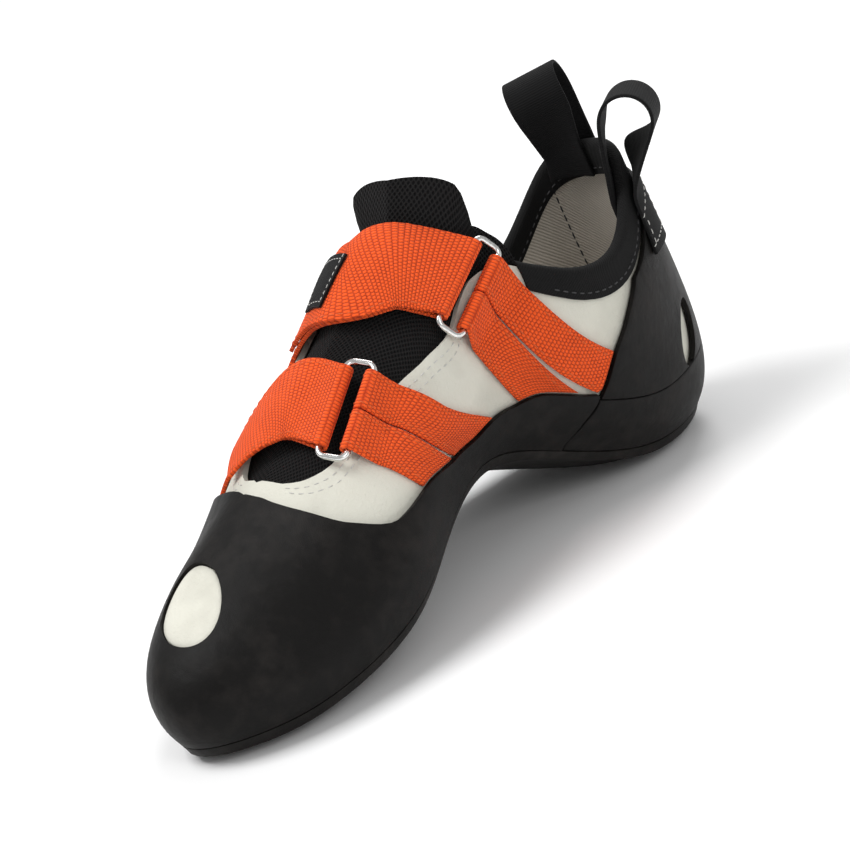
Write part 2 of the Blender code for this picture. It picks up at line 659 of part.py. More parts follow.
def path_tracks(stations, widths, samples, drift=0.0):
    """Ring places and heights of lines side by side along a few stations, and the lift along them."""
    nodes = wall_point([station.place for station in stations], [station.height for station in stations])
    knots = np.concatenate([[0.0], np.cumsum(np.linalg.norm(np.diff(nodes, axis=0), axis=-1))])
    turn = np.linspace(0.0, knots[-1], samples)
    place = smooth(turn, knots, [station.place for station in stations])
    height = smooth(turn, knots, [station.height for station in stations])
    lift = smooth(turn, knots, [station.lift for station in stations])
    ahead = np.gradient(wall_point(place, height), axis=0)
    across = np.cross(wall_normal(place, height), ahead)
    across /= np.linalg.norm(across, axis=-1, keepdims=True)
    shift = drift * np.linspace(0.0, 1.0, samples) ** 2
    tracks = [[march(place[i], height[i], across[i], width + shift[i]) for width in widths] for i in range(samples)]
    return np.array(tracks), lift


def path_rows(stations, base_lift, layer, widths, samples):
    """Rows of a ribbon that lies on the wall along a few stations."""
    tracks, lift = path_tracks(stations, widths, samples)
    heights = base_lift + layer * np.repeat(lift[:, None], len(widths), 1)
    return lifted(tracks[..., 0], tracks[..., 1], heights)


def trimmed_rows(stations, base_lift, widths, samples, drift=0.0):
    """Rows of a ribbon whose lines each stop a gap short of the rubber's edge."""
    tracks, _ = path_tracks(stations, widths, 4 * samples, drift)
    rows = []
    for line in tracks.transpose(1, 0, 2):
        over = line[:, 1] > 1.0
        place = np.where(over, 2.0 - line[:, 0], line[:, 0])
        height = np.where(over, 2.0 - line[:, 1], line[:, 1])
        margin = 2 * GAP / wall_length(place)
        above_rand = height - edge_height(RAND, place) - margin
        front = steady(height, BAND_FRONT, "place") + 2 * GAP / LENGTH
        before_band = line[:, 0] - front
        clear = np.minimum(above_rand, before_band)
        stop = int(np.argmax(clear < 0)) if (clear < 0).any() else len(clear) - 1
        share = clear[stop - 1] / max(clear[stop - 1] - clear[stop], 1e-9)
        end = (stop - 1 + min(share, 1.0)) / (len(clear) - 1)
        turn = np.linspace(0.0, 1.0, len(clear))
        at = np.linspace(0.0, end, samples)
        place = np.interp(at, turn, line[:, 0])
        height = np.interp(at, turn, line[:, 1])
        rows.append(lifted(place, height, np.full(samples, base_lift)))
    return np.array(rows).transpose(1, 0, 2)


def smooth(turn, knots, values):
    """Catmull-Rom curve through values."""
    values = np.asarray(values, float)
    slope = np.gradient(values, knots)
    i = np.clip(np.searchsorted(knots, turn, side="right") - 1, 0, len(knots) - 2)
    step = knots[i + 1] - knots[i]
    u = (turn - knots[i]) / step
    return (values[i] * (2 * u ** 3 - 3 * u ** 2 + 1) + values[i + 1] * (3 * u ** 2 - 2 * u ** 3)
            + step * (slope[i] * (u ** 3 - 2 * u ** 2 + u) + slope[i + 1] * (u ** 3 - u ** 2)))


def ring_middle(ring):
    """Ring place and height under the middle of a wire ring."""
    return np.array((ring.high_place + ring.low_place) / 2), np.array((ring.high_height + ring.low_height) / 2)


def ring_frame(ring):
    """Centre, long axis, axis toward the ridge and outward axis of a wire ring."""
    high = wall_point(np.array(ring.high_place), np.array(ring.high_height))
    low = wall_point(np.array(ring.low_place), np.array(ring.low_height))
    place, height = ring_middle(ring)
    long_axis = (low - high) / np.linalg.norm(low - high)
    normal = wall_normal(place, height)
    normal = normal - long_axis * (normal @ long_axis)
    normal /= np.linalg.norm(normal)
    toward_ridge = np.cross(normal, long_axis)
    if toward_ridge[2] < 0:
        toward_ridge = -toward_ridge
    centre = wall_point(place, height) + normal * RING_HEIGHT
    return centre, long_axis, toward_ridge, normal


def bar_spacing():
    """Half the distance between the two long bars of a ring."""
    return (RING_OPENING + RING_WIRE) / 2


def fold_rows(frame, side, widths):
    """Rows of a ribbon that passes under one bar of a ring and back over it."""
    centre, long_axis, toward_ridge, normal = frame
    bar = centre + toward_ridge * side * bar_spacing()
    rows = []
    for angle in np.linspace(0.0, math.pi + TAIL_SLOPE, 8):
        reach = -normal * math.cos(angle) - toward_ridge * side * math.sin(angle)
        rows.append([bar + long_axis * width + reach * FOLD for width in widths])
    return np.array(rows)


def build_ring(name, ring, group):
    """Wire ring with straight long sides and round ends, bent from steel wire."""
    centre, long_axis, toward_ridge, _ = ring_frame(ring)
    half_wide = bar_spacing()
    half_long = STRAP_WIDTH / 2 + RING_CORNER
    corner = RING_CORNER
    points = []
    for turn in range(4):
        along_sign = (1, 1, -1, -1)[turn]
        across_sign = (1, -1, -1, 1)[turn]
        start = (0.5 * math.pi, 0.0, -0.5 * math.pi, math.pi)[turn]
        for part in range(5):
            angle = start - part * math.pi / 8
            x = along_sign * (half_long - corner) + corner * math.cos(angle)
            y = across_sign * (half_wide - corner) + corner * math.sin(angle)
            points.append(Vector(centre + long_axis * x + toward_ridge * y))
    curve = bpy.data.curves.new(name, "CURVE")
    curve.dimensions = "3D"
    curve.bevel_depth = RING_WIRE / 2
    curve.bevel_resolution = 2
    spline = curve.splines.new("POLY")
    spline.points.add(len(points) - 1)
    for knot, point in zip(spline.points, points):
        knot.co = (point.x, point.y, point.z, 1.0)
    spline.use_cyclic_u = True
    curve.materials.append(material("steel_wire"))
    made = bpy.data.objects.new(name, curve)
    group.objects.link(made)
    return made


def widths_of(width, columns, centre=0.0):
    """Even places across a ribbon."""
    return centre + np.linspace(-width / 2, width / 2, columns)


def build_strap(name, stations, returning, ring, group):
    """Closing strap: over the instep, through its ring, and back on top of itself."""
    frame = ring_frame(ring)
    widths = widths_of(STRAP_WIDTH, 5)
    layer = WEBBING + GAP
    first = trimmed_rows(stations[::-1], WEB_HEIGHT, widths, 17)[::-1, ::-1]
    fold = fold_rows(frame, 1, widths)
    back = path_rows(returning, WEB_HEIGHT, layer, widths, 10)
    back = back[:, ::-1]
    if np.linalg.norm(first[-1][0] - fold[0][0]) > np.linalg.norm(first[-1][0] - fold[0][-1]):
        fold = fold[:, ::-1]
    return ribbon(name, np.concatenate([first, fold, back]), WEBBING, "orange_webbing", group)


def build_band(name, ring, stations, side, group):
    """Short webbing band that holds one end of a ring and runs down to the rubber."""
    frame = ring_frame(ring)
    centre = side * (BAND_WIDTH + 2 * GAP) / 2
    fold = fold_rows(frame, -1, widths_of(BAND_WIDTH, 3, centre))
    place, height = march(*ring_middle(ring), -frame[2], BAND_START)
    stations = [Station(float(place), float(height), 0)] + stations
    tails = []
    for sign in (1.0, -1.0):
        widths = sign * widths_of(BAND_WIDTH, 3, centre)
        tails.append(trimmed_rows(stations, WEB_HEIGHT, widths, BAND_ROWS, sign * side * BAND_FORK))
    tail = min(tails, key=lambda rows: np.linalg.norm(rows[0] - fold[-1]))
    return ribbon(name, np.concatenate([fold, tail]), WEBBING, "orange_webbing", group)


def build_binding(group):
    """Folded edge round the collar, from the throat's inner corner round the heel to the outer one."""
    side = side_places()
    side = side[side < BINDING_END]
    places = np.concatenate([-side[:0:-1], side])
    outside = UPPER_WALL + GAP + BINDING / 2
    inside = -2 * GAP - BINDING / 2
    radius = (outside - inside) / 2
    top = edge_height(THROAT, places)
    low = top - BINDING_WIDTH / wall_length(places)
    rim = lifted(places, top, np.full(places.shape, (outside + inside) / 2))
    rising = wall_point(places, top) - wall_point(places, top - 0.02)
    rising /= np.linalg.norm(rising, axis=-1, keepdims=True)
    normal = wall_normal(places, top)
    rows = [lifted(places, low, np.full(places.shape, outside)), rim + normal * radius]
    for angle in (0.25 * math.pi, 0.5 * math.pi, 0.75 * math.pi):
        rows.append(rim + normal * radius * math.cos(angle) + rising * radius * math.sin(angle))
    rows += [rim - normal * radius, lifted(places, low, np.full(places.shape, inside))]
    return ribbon("collar_binding", np.array(rows).transpose(1, 0, 2), BINDING, "black_binding", group)


def build_loop(loop, group):
    """Pull loop of tape that straddles the collar's edge."""
    place = loop.place
    outside = RUBBER_OUT + GAP + TAPE / 2
    inside = -3 * GAP - BINDING - TAPE / 2
    middle = (outside + inside) / 2
    rim = wall_point(np.array(place), np.array(1.0))
    out = outward(np.array(place))
    side = np.array([-out[1], out[0], 0.0])
    heading = math.radians(loop.heading)
    facing = np.array([math.cos(heading), math.sin(heading), 0.0])
    level = np.array([-facing[1], facing[0], 0.0])
    up = np.array([0.0, 0.0, 1.0]) + facing * loop.lean_out + level * loop.lean_side
    up /= np.linalg.norm(up)
    level = level - up * (up @ level)
    level /= np.linalg.norm(level)
    facing = np.cross(level, up)
    side *= math.copysign(1.0, side @ level)
    widths = widths_of(LOOP_WIDTH, 5)
    length = float(wall_length(np.array(place)))

    def leg(drop, lift):
        end = np.array([march(place, 1.0 - drop / length, side, width) for width in widths])
        top = 1.0 + LOOP_RISE / length
        climbs = np.linspace(0.0, 1.0, 4)
        return [lifted(end[:, 0], end[:, 1] + (top - end[:, 1]) * climb, np.full(len(widths), lift)) for climb in climbs]
    rows = leg(LOOP_LEG, outside)
    spread = loop.spread * LOOP_SPREAD
    crown = loop.height * LOOP_HEIGHT - spread
    for angle in np.linspace(-0.15 * math.pi, 1.15 * math.pi, 9):
        centre = rim + out * middle + facing * math.cos(angle) * spread
        centre = centre + up * (crown + math.sin(angle) * spread)
        rows.append(centre[None, :] + level[None, :] * widths[:, None])
    rows += leg(LOOP_LEG * loop.inside, inside)[::-1]
    return ribbon(loop.name, np.array(rows), TAPE, "black_binding", group)


def build_label(group):
    """Bare cloth patch sewn on the upper strap's free end."""
    stations = [Station(0.592, 1.03, 0), Station(0.586, 1.17, 0)]
    lift = WEB_HEIGHT + WEBBING + GAP + WEBBING / 2 + GAP + LABEL / 2
    rows = path_rows(stations, lift, 0.0, widths_of(LABEL_WIDTH, 4), 5)
    return ribbon("label", rows, LABEL, "label_cloth", group)


def centre_on_origin(pieces, anchor):
    """Parent the pieces to an empty that puts the middle of the shoe's outline over the origin."""
    bpy.context.view_layer.update()
    graph = bpy.context.evaluated_depsgraph_get()
    low = np.full(3, np.inf)
    high = np.full(3, -np.inf)
    for piece in pieces:
        seen = piece.evaluated_get(graph)
        mesh = seen.to_mesh()
        for vert in mesh.vertices:
            low = np.minimum(low, vert.co)
            high = np.maximum(high, vert.co)
        seen.to_mesh_clear()
    middle = (low + high) / 2
    anchor.location = (-middle[0], -middle[1], 0.0)


def main():
    """Build the shoe."""
    clear_scene()
    group = new_collection("climbing_shoe")
    cutters = new_collection("cutters")
    anchor = bpy.data.objects.new("shoe_anchor", None)
    group.objects.link(anchor)
    pieces = [build_upper(group), build_rand(group, cutters)]
    pieces += [build_heel_cup(group), build_heel_band(group, cutters)]
    pieces += [build_outsole(group), build_insole(group), build_tongue(group), build_binding(group)]
    for tier, ring, strap, returning, stations in (
        ("upper", UPPER_RING, UPPER_STRAP, UPPER_RETURN, UPPER_BANDS),
        ("lower", LOWER_RING, LOWER_STRAP, LOWER_RETURN, LOWER_BANDS),
    ):
        pieces.append(build_ring(tier + "_ring", ring, group))
        pieces.append(build_strap(tier + "_strap", strap, returning, ring, group))
        for number, side in ((1, -1.0), (2, 1.0)):
            pieces.append(build_band("%s_band_%d" % (tier, number), ring, stations, side, group))
    pieces += [build_loop(loop, group) for loop in LOOPS]
    pieces.append(build_label(group))
    for piece in pieces + list(cutters.objects):
        piece.parent = anchor
    centre_on_origin(pieces, anchor)


main()
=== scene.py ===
"""Looks of the climbing shoe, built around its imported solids.

The last is one surface. A ring place runs from the heel back (0) along the
inner side to the toe tip (1) and home along the outer side (2). A height runs
from the feather line (0) to the collar or the instep ridge (1), and past 1 it
runs down the other side. Every piece is cut from that surface in metres.
"""
from __future__ import annotations

import logging
import math
from dataclasses import dataclass
from enum import Enum
from typing import NamedTuple, Optional, Sequence

import bmesh
import bpy
import numpy as np
from mathutils import Matrix, Vector
from mathutils.bvhtree import BVHTree
from mathutils.kdtree import KDTree

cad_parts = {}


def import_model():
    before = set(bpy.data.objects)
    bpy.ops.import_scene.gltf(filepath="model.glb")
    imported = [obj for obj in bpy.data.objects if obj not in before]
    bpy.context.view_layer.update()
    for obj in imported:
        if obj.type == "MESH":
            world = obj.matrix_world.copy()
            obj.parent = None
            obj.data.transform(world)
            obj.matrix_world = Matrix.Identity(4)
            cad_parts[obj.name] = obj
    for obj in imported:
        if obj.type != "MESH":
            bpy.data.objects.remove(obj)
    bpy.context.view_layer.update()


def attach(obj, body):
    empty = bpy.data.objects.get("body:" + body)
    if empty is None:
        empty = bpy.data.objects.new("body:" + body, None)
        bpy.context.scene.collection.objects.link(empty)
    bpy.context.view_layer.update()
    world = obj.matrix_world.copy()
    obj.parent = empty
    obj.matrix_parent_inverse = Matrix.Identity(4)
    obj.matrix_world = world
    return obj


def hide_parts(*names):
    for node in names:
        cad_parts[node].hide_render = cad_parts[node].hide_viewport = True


LOG = logging.getLogger("shoe")

# Where the last's own origin lies in the frame
SHIFT = np.array([0.0011574, 0.1230767, 0.0])

# Driving sizes of the last and of the layers on it
LENGTH = 0.245
BREADTH = 0.084
INSTEP = 0.106
HEEL_HEIGHT = 0.096
ARCH_RISE = 0.036
UPPER_WALL = 0.0018
RUBBER = 0.0018
SOLE = 0.0042
INSOLE = 0.0022
TONGUE = 0.0016
BINDING = 0.0010
WEBBING = 0.0013
TAPE = 0.0011
LABEL = 0.0007
GAP = 0.0003
SOLE_GAP = 0.0005
TONGUE_GAP = 0.0008
RUBBER_GAP = 0.0007
RUBBER_IN = UPPER_WALL + RUBBER_GAP
RUBBER_OUT = RUBBER_IN + RUBBER

# Widths and lengths of the trim
BINDING_WIDTH = 0.0080
BINDING_END = 0.390
STRAP_WIDTH = 0.0275
BAND_WIDTH = 0.0132
BAND_FORK = 0.0012
BAND_START = 0.0110
LOOP_WIDTH = 0.0185
LOOP_HEIGHT = 0.0290
LOOP_SPREAD = 0.0088
LOOP_LEG = 0.0230
LOOP_RISE = 0.0030
LABEL_WIDTH = 0.0175
LOBE_HEIGHT = 0.0160
LOBE_WIDTH = 0.0400
LOBE_LEAN = 0.35
LOBE_DROOP = 0.40
LOBE_BACK = 0.0215
RING_WIRE = 0.0020
RING_CORNER = 0.0026
RING_OPENING = 0.0068
TAIL_SLOPE = 0.6

# Heights of webbing and rings outside the last
FOLD = RING_WIRE / 2 + GAP + WEBBING / 2
WEB_HEIGHT = UPPER_WALL + GAP + WEBBING / 2
RING_HEIGHT = UPPER_WALL + 4 * GAP + WEBBING / 2 + FOLD

# Tongue and sole, in ring places and shares
TONGUE_FRONT = 0.862
TONGUE_UNDER = 0.06
LOBE_SLANT = 0.062
LOBE_REACH = 0.026
SOLE_DRAW = 0.45
CLOSED_FROM = 0.5

# Step of a numeric slope, and the distance under which two points are one
DIFF = 1e-3
MERGE = 3e-6

# Where the two sides' normals start to blend toward the ridge, over what span, and what the ridge keeps clear
RIDGE_FROM = 0.90
RIDGE_SPAN = 0.10
RIDGE_CLEAR = 12 * DIFF

# Extra ring places, as first, last and count: where the rubber climbs over the toes, and round the toe tip
RAND_TURN = (0.80, 0.88, 13)
TOE_TIP = (0.92, 1.0, 17)


class Section(NamedTuple):
    """One row of the last: feather line and top on both sides."""

    place: float
    med_along: float
    med_across: float
    med_rise: float
    lat_along: float
    lat_across: float
    lat_rise: float
    sag: float
    top_along: float
    top_centre: float
    top_half: float
    top_instep: float
    med_heel: float
    lat_heel: float


SECTIONS = [
    Section(0.00, 0.033, 0.000, 0.16, 0.033, 0.000, 0.16, 0.00, 0.066, 0.00, 0.00, 0.00, 1.00, 1.00),
    Section(0.10, 0.080, 0.200, 0.15, 0.080, -0.235, 0.15, 0.16, 0.088, 0.00, 0.19, 0.00, 0.98, 0.94),
    Section(0.22, 0.197, 0.275, 0.16, 0.197, -0.320, 0.14, 0.18, 0.165, 0.00, 0.34, 0.00, 0.78, 0.68),
    Section(0.36, 0.350, 0.240, 0.60, 0.335, -0.370, 0.29, 0.07, 0.310, 0.00, 0.33, 0.30, 0.50, 0.43),
    Section(0.50, 0.480, 0.250, 0.86, 0.457, -0.415, 0.46, 0.03, 0.425, 0.00, 0.00, 0.99, 0.00, 0.00),
    Section(0.63, 0.604, 0.375, 0.62, 0.563, -0.488, 0.42, 0.06, 0.547, 0.00, 0.00, 0.825, 0.00, 0.00),
    Section(0.75, 0.710, 0.475, 0.33, 0.661, -0.500, 0.28, 0.12, 0.653, 0.00, 0.00, 0.655, 0.00, 0.00),
    Section(0.87, 0.837, 0.460, 0.14, 0.784, -0.333, 0.14, 0.17, 0.759, 0.024, 0.00, 0.505, 0.00, 0.00),
    Section(0.95, 0.935, 0.365, 0.11, 0.898, -0.095, 0.11, 0.115, 0.833, 0.071, 0.00, 0.425, 0.00, 0.00),
    Section(1.00, 0.978, 0.175, 0.12, 0.978, 0.175, 0.12, 0.00, 0.857, 0.095, 0.00, 0.39, 0.00, 0.00),
]


class Wall(NamedTuple):
    """How far the wall bulges low and high on each side."""

    place: float
    med_low_out: float
    med_low_up: float
    med_high_out: float
    med_high_down: float
    lat_low_out: float
    lat_low_up: float
    lat_high_out: float
    lat_high_down: float


WALLS = [
    Wall(0.00, 0.12, 0.12, 0.07, 0.32, 0.12, 0.12, 0.07, 0.32),
    Wall(0.10, 0.12, 0.12, 0.05, 0.28, 0.12, 0.12, 0.05, 0.28),
    Wall(0.22, 0.12, 0.13, 0.05, 0.21, 0.12, 0.13, 0.05, 0.21),
    Wall(0.36, 0.11, 0.13, 0.08, 0.16, 0.11, 0.13, 0.10, 0.15),
    Wall(0.50, 0.11, 0.15, 0.30, 0.04, 0.10, 0.15, 0.36, 0.04),
    Wall(0.63, 0.10, 0.17, 0.32, 0.02, 0.08, 0.13, 0.38, 0.03),
    Wall(0.75, 0.09, 0.20, 0.29, 0.02, 0.08, 0.13, 0.29, 0.03),
    Wall(0.87, 0.09, 0.20, 0.25, 0.02, 0.09, 0.13, 0.19, 0.04),
    Wall(0.95, 0.10, 0.18, 0.22, 0.03, 0.10, 0.15, 0.18, 0.04),
    Wall(1.00, 0.12, 0.16, 0.18, 0.05, 0.12, 0.16, 0.18, 0.05),
]


class Edge(NamedTuple):
    """Height of an edge on both sides at one ring place."""

    place: float
    medial: float
    lateral: float


THROAT = [
    Edge(0.00, 1.00, 1.00), Edge(0.34, 1.00, 1.00), Edge(0.385, 0.96, 0.97),
    Edge(0.42, 0.84, 0.88), Edge(0.46, 0.69, 0.79), Edge(0.50, 0.57, 0.72),
    Edge(0.54, 0.52, 0.69), Edge(0.60, 0.57, 0.70), Edge(0.65, 0.63, 0.73),
    Edge(0.71, 0.67, 0.76), Edge(0.77, 0.69, 0.78), Edge(0.805, 0.75, 0.82),
    Edge(0.83, 0.85, 0.89), Edge(0.845, 1.00, 1.00), Edge(1.00, 1.00, 1.00),
]
RAND = [
    Edge(0.30, 0.36, 0.34), Edge(0.335, 0.355, 0.335), Edge(0.375, 0.33, 0.32),
    Edge(0.435, 0.225, 0.27), Edge(0.51, 0.155, 0.24), Edge(0.59, 0.22, 0.26),
    Edge(0.665, 0.305, 0.31), Edge(0.735, 0.335, 0.37), Edge(0.795, 0.48, 0.55),
    Edge(0.835, 0.67, 0.78), Edge(0.855, 0.81, 0.92), Edge(0.87, 1.00, 1.00),
    Edge(1.00, 1.00, 1.00),
]
CUP = [Edge(0.00, 0.270, 0.270), Edge(0.20, 0.295, 0.295), Edge(0.32, 0.34, 0.34), Edge(0.40, 0.34, 0.34)]


class Front(NamedTuple):
    """Ring place of a front edge at one height."""

    height: float
    place: float


BAND_FRONT = [
    Front(0.30, 0.308), Front(0.42, 0.300), Front(0.57, 0.290), Front(0.72, 0.268), Front(1.00, 0.215),
]
CUP_FRONT = [Front(0.0, 0.345), Front(0.5, 0.326), Front(1.0, 0.308)]


class Window(NamedTuple):
    """Oval opening in the rubber; lean tips its top toward the heel back, in degrees."""

    place: float
    height: float
    wide: float
    long: float
    lean: float


HEEL_WINDOW = Window(0.135, 0.400, 0.125 * HEEL_HEIGHT, 0.23 * HEEL_HEIGHT, 25.0)
TOE_WINDOW = Window(0.993, 0.783, 0.262 * BREADTH, 0.405 * BREADTH, -37.0)
WINDOW_DEPTH = 0.0110


class Station(NamedTuple):
    """One point that a strap or band passes; lift is counted in layers of webbing."""

    place: float
    height: float
    lift: float


class Ring(NamedTuple):
    """Both ends of a wire ring on the wall."""

    high_place: float
    high_height: float
    low_place: float
    low_height: float


class Closure(NamedTuple):
    """One closing strap with its ring and the middle line of the bands behind it."""

    ring: Ring
    over: list
    back: list
    bands: list


class Tier(Enum):
    """The two closing straps."""

    UPPER = "upper"
    LOWER = "lower"


CLOSURES = {
    Tier.UPPER: Closure(
        Ring(0.425, 0.80, 0.530, 0.47),
        [Station(0.592, 1.80, 0), Station(0.590, 1.35, 0), Station(0.592, 1.15, 0), Station(0.588, 1.00, 0),
         Station(0.550, 0.82, 0)],
        [Station(0.550, 0.82, 1), Station(0.588, 1.00, 1), Station(0.592, 1.15, 1), Station(0.590, 1.32, 1)],
        [Station(0.373, 0.460, 0), Station(0.303, 0.330, 0)],
    ),
    Tier.LOWER: Closure(
        Ring(0.675, 0.79, 0.770, 0.70),
        [Station(0.735, 1.70, 0), Station(0.735, 1.30, 0), Station(0.733, 1.00, 0), Station(0.730, 0.90, 0)],
        [Station(0.730, 0.90, 1), Station(0.737, 1.00, 1), Station(0.752, 1.14, 1), Station(0.770, 1.30, 1)],
        [Station(0.650, 0.415, 0), Station(0.485, -0.060, 0)],
    ),
}


class Loop(NamedTuple):
    """Pull loop: place on the collar, shares of the loop sizes, and degrees that its flat side faces."""

    name: str
    place: float
    height: float
    spread: float
    heading: float
    lean_out: float
    lean_side: float
    inside: float


LOOPS = [
    Loop("pull_loop_inner", 0.130, 0.98, 1.02, 34.0, 0.40, 0.05, 0.52),
    Loop("pull_loop_outer", 1.958, 0.99, 0.97, 128.0, 0.00, 0.24, 0.30),
]


class Crease(NamedTuple):
    """Soft trough between two points of the wall; depth and width in metres."""

    place: float
    height: float
    end_place: float
    end_height: float
    depth: float
    width: float


UPPER_CREASES = [
    Crease(0.500, 0.50, 0.440, 0.32, 0.0007, 0.0045),
    Crease(0.640, 0.60, 0.575, 0.40, 0.0006, 0.0040),
    Crease(0.790, 0.62, 0.720, 0.44, 0.0007, 0.0045),
    Crease(0.815, 0.74, 0.765, 0.60, 0.0005, 0.0030),
    Crease(0.340, 0.90, 0.300, 0.62, 0.0006, 0.0050),
    Crease(1.420, 0.62, 1.470, 0.40, 0.0006, 0.0045),
    Crease(1.640, 0.80, 1.600, 0.50, 0.0007, 0.0055),
    Crease(1.230, 0.76, 1.280, 0.52, 0.0006, 0.0045),
]
RUBBER_CREASES = [
    Crease(0.740, 0.28, 0.790, 0.10, 0.0005, 0.0060),
    Crease(0.800, 0.42, 0.860, 0.20, 0.0005, 0.0070),
    Crease(0.850, 0.74, 0.930, 0.50, 0.0004, 0.0080),
    Crease(1.250, 0.34, 1.200, 0.12, 0.0005, 0.0070),
    Crease(1.150, 0.78, 1.080, 0.55, 0.0004, 0.0080),
    Crease(0.470, 0.14, 0.420, 0.05, 0.0004, 0.0050),
]


def side_share(ring_place: np.ndarray) -> np.ndarray:
    """Ring places of either side as shares from the heel back to the toe tip."""
    folded = np.mod(ring_place, 2.0)
    return np.where(folded > 1.0, 2.0 - folded, folded)


def cubic(values: np.ndarray, slopes: np.ndarray, i: np.ndarray, step: np.ndarray,
          u: np.ndarray) -> np.ndarray:
    """Cubic between two knots that keeps the values and slopes at both.

    Args:
        values: Values at all knots.
        slopes: Slopes at all knots.
        i: Number of the knot before each place.
        step: Distance from that knot to the next.
        u: Share of that distance.

    Returns:
        The cubic's values.
    """
    return (values[i] * (2 * u ** 3 - 3 * u ** 2 + 1) + values[i + 1] * (3 * u ** 2 - 2 * u ** 3)
            + step * (slopes[i] * (u ** 3 - 2 * u ** 2 + u) + slopes[i + 1] * (u ** 3 - u ** 2)))


def steady(places: np.ndarray, rows: Sequence[tuple], column: str) -> np.ndarray:
    """Curve through a short table that never overshoots its rows.

    Args:
        places: Where to read the curve.
        rows: Table whose first column is the knot.
        column: Name of the column to read.

    Returns:
        The curve's values at the places.
    """
    knots = np.array([row[0] for row in rows])
    values = np.array([getattr(row, column) for row in rows])
    slopes = np.diff(values) / np.diff(knots)
    tangent = np.zeros(len(knots))
    same = slopes[:-1] * slopes[1:] > 0
    before, after = slopes[:-1][same], slopes[1:][same]
    tangent[1:-1][same] = 2 * before * after / (before + after)
    places = np.clip(np.asarray(places, float), knots[0], knots[-1])
    i = np.clip(np.searchsorted(knots, places, side="right") - 1, 0, len(knots) - 2)
    step = knots[i + 1] - knots[i]
    return cubic(values, tangent, i, step, (places - knots[i]) / step)


def edge_height(rows: Sequence[Edge], ring_place: np.ndarray) -> np.ndarray:
    """Height of an edge table at ring places on either side.

    Args:
        rows: Table of the edge.
        ring_place: Ring places.

    Returns:
        Heights at those places.
    """
    lateral = np.mod(np.asarray(ring_place, float), 2.0) > 1.0
    share = side_share(ring_place)
    return np.where(lateral, steady(share, rows, "lateral"), steady(share, rows, "medial"))


def smooth(turn: np.ndarray, knots: np.ndarray, values: Sequence[float]) -> np.ndarray:
    """Smooth curve through values at uneven knots.

    Args:
        turn: Where to read the curve.
        knots: Places of the values.
        values: The values.

    Returns:
        The curve's values.
    """
    values = np.asarray(values, float)
    slope = np.gradient(values, knots)
    i = np.clip(np.searchsorted(knots, turn, side="right") - 1, 0, len(knots) - 2)
    step = knots[i + 1] - knots[i]
    return cubic(values, slope, i, step, (turn - knots[i]) / step)


def ease(value: np.ndarray) -> np.ndarray:
    """Soft step from 0 to 1."""
    value = np.clip(value, 0.0, 1.0)
    return value * value * (3 - 2 * value)


def unit(vectors: np.ndarray) -> np.ndarray:
    """Vectors scaled to length one."""
    return vectors / np.maximum(np.linalg.norm(vectors, axis=-1, keepdims=True), 1e-12)


@dataclass(frozen=True)
class RingCurve:
    """Smooth periodic curve through values on the inner side and back along the outer side."""

    knots: np.ndarray
    values: np.ndarray
    steps: np.ndarray
    bend: np.ndarray

    @classmethod
    def through(cls, places: Sequence[float], medial: Sequence[float],
                lateral: Sequence[float]) -> "RingCurve":
        """Solve the curve.

        Args:
            places: Ring places of the table's rows, from 0 to 1.
            medial: Values on the inner side.
            lateral: Values on the outer side.

        Returns:
            The curve, ready to read.
        """
        knots = np.concatenate([places, 2 - np.array(places)[-2:0:-1]])
        values = np.concatenate([medial, np.array(lateral)[-2:0:-1]])
        count = len(knots)
        steps = np.diff(np.append(knots, 2.0))
        matrix = np.zeros((count, count))
        known = np.zeros(count)
        for i in range(count):
            before, after, nxt = steps[i - 1], steps[i], (i + 1) % count
            matrix[i, i - 1] += before
            matrix[i, i] += 2 * (before + after)
            matrix[i, nxt] += after
            known[i] = 6 * ((values[nxt] - values[i]) / after - (values[i] - values[i - 1]) / before)
        return cls(knots, values, steps, np.linalg.solve(matrix, known))

    def __call__(self, place: np.ndarray) -> np.ndarray:
        """Values of the curve at ring places.

        Args:
            place: Ring places.

        Returns:
            Values there.
        """
        place = np.mod(np.asarray(place, float), 2.0)
        i = np.clip(np.searchsorted(self.knots, place, side="right") - 1, 0, len(self.knots) - 1)
        nxt = (i + 1) % len(self.knots)
        step = self.steps[i]
        right = (place - self.knots[i]) / step
        left = 1 - right
        bend = (left ** 3 - left) * self.bend[i] + (right ** 3 - right) * self.bend[nxt]
        return left * self.values[i] + right * self.values[nxt] + bend * step * step / 6


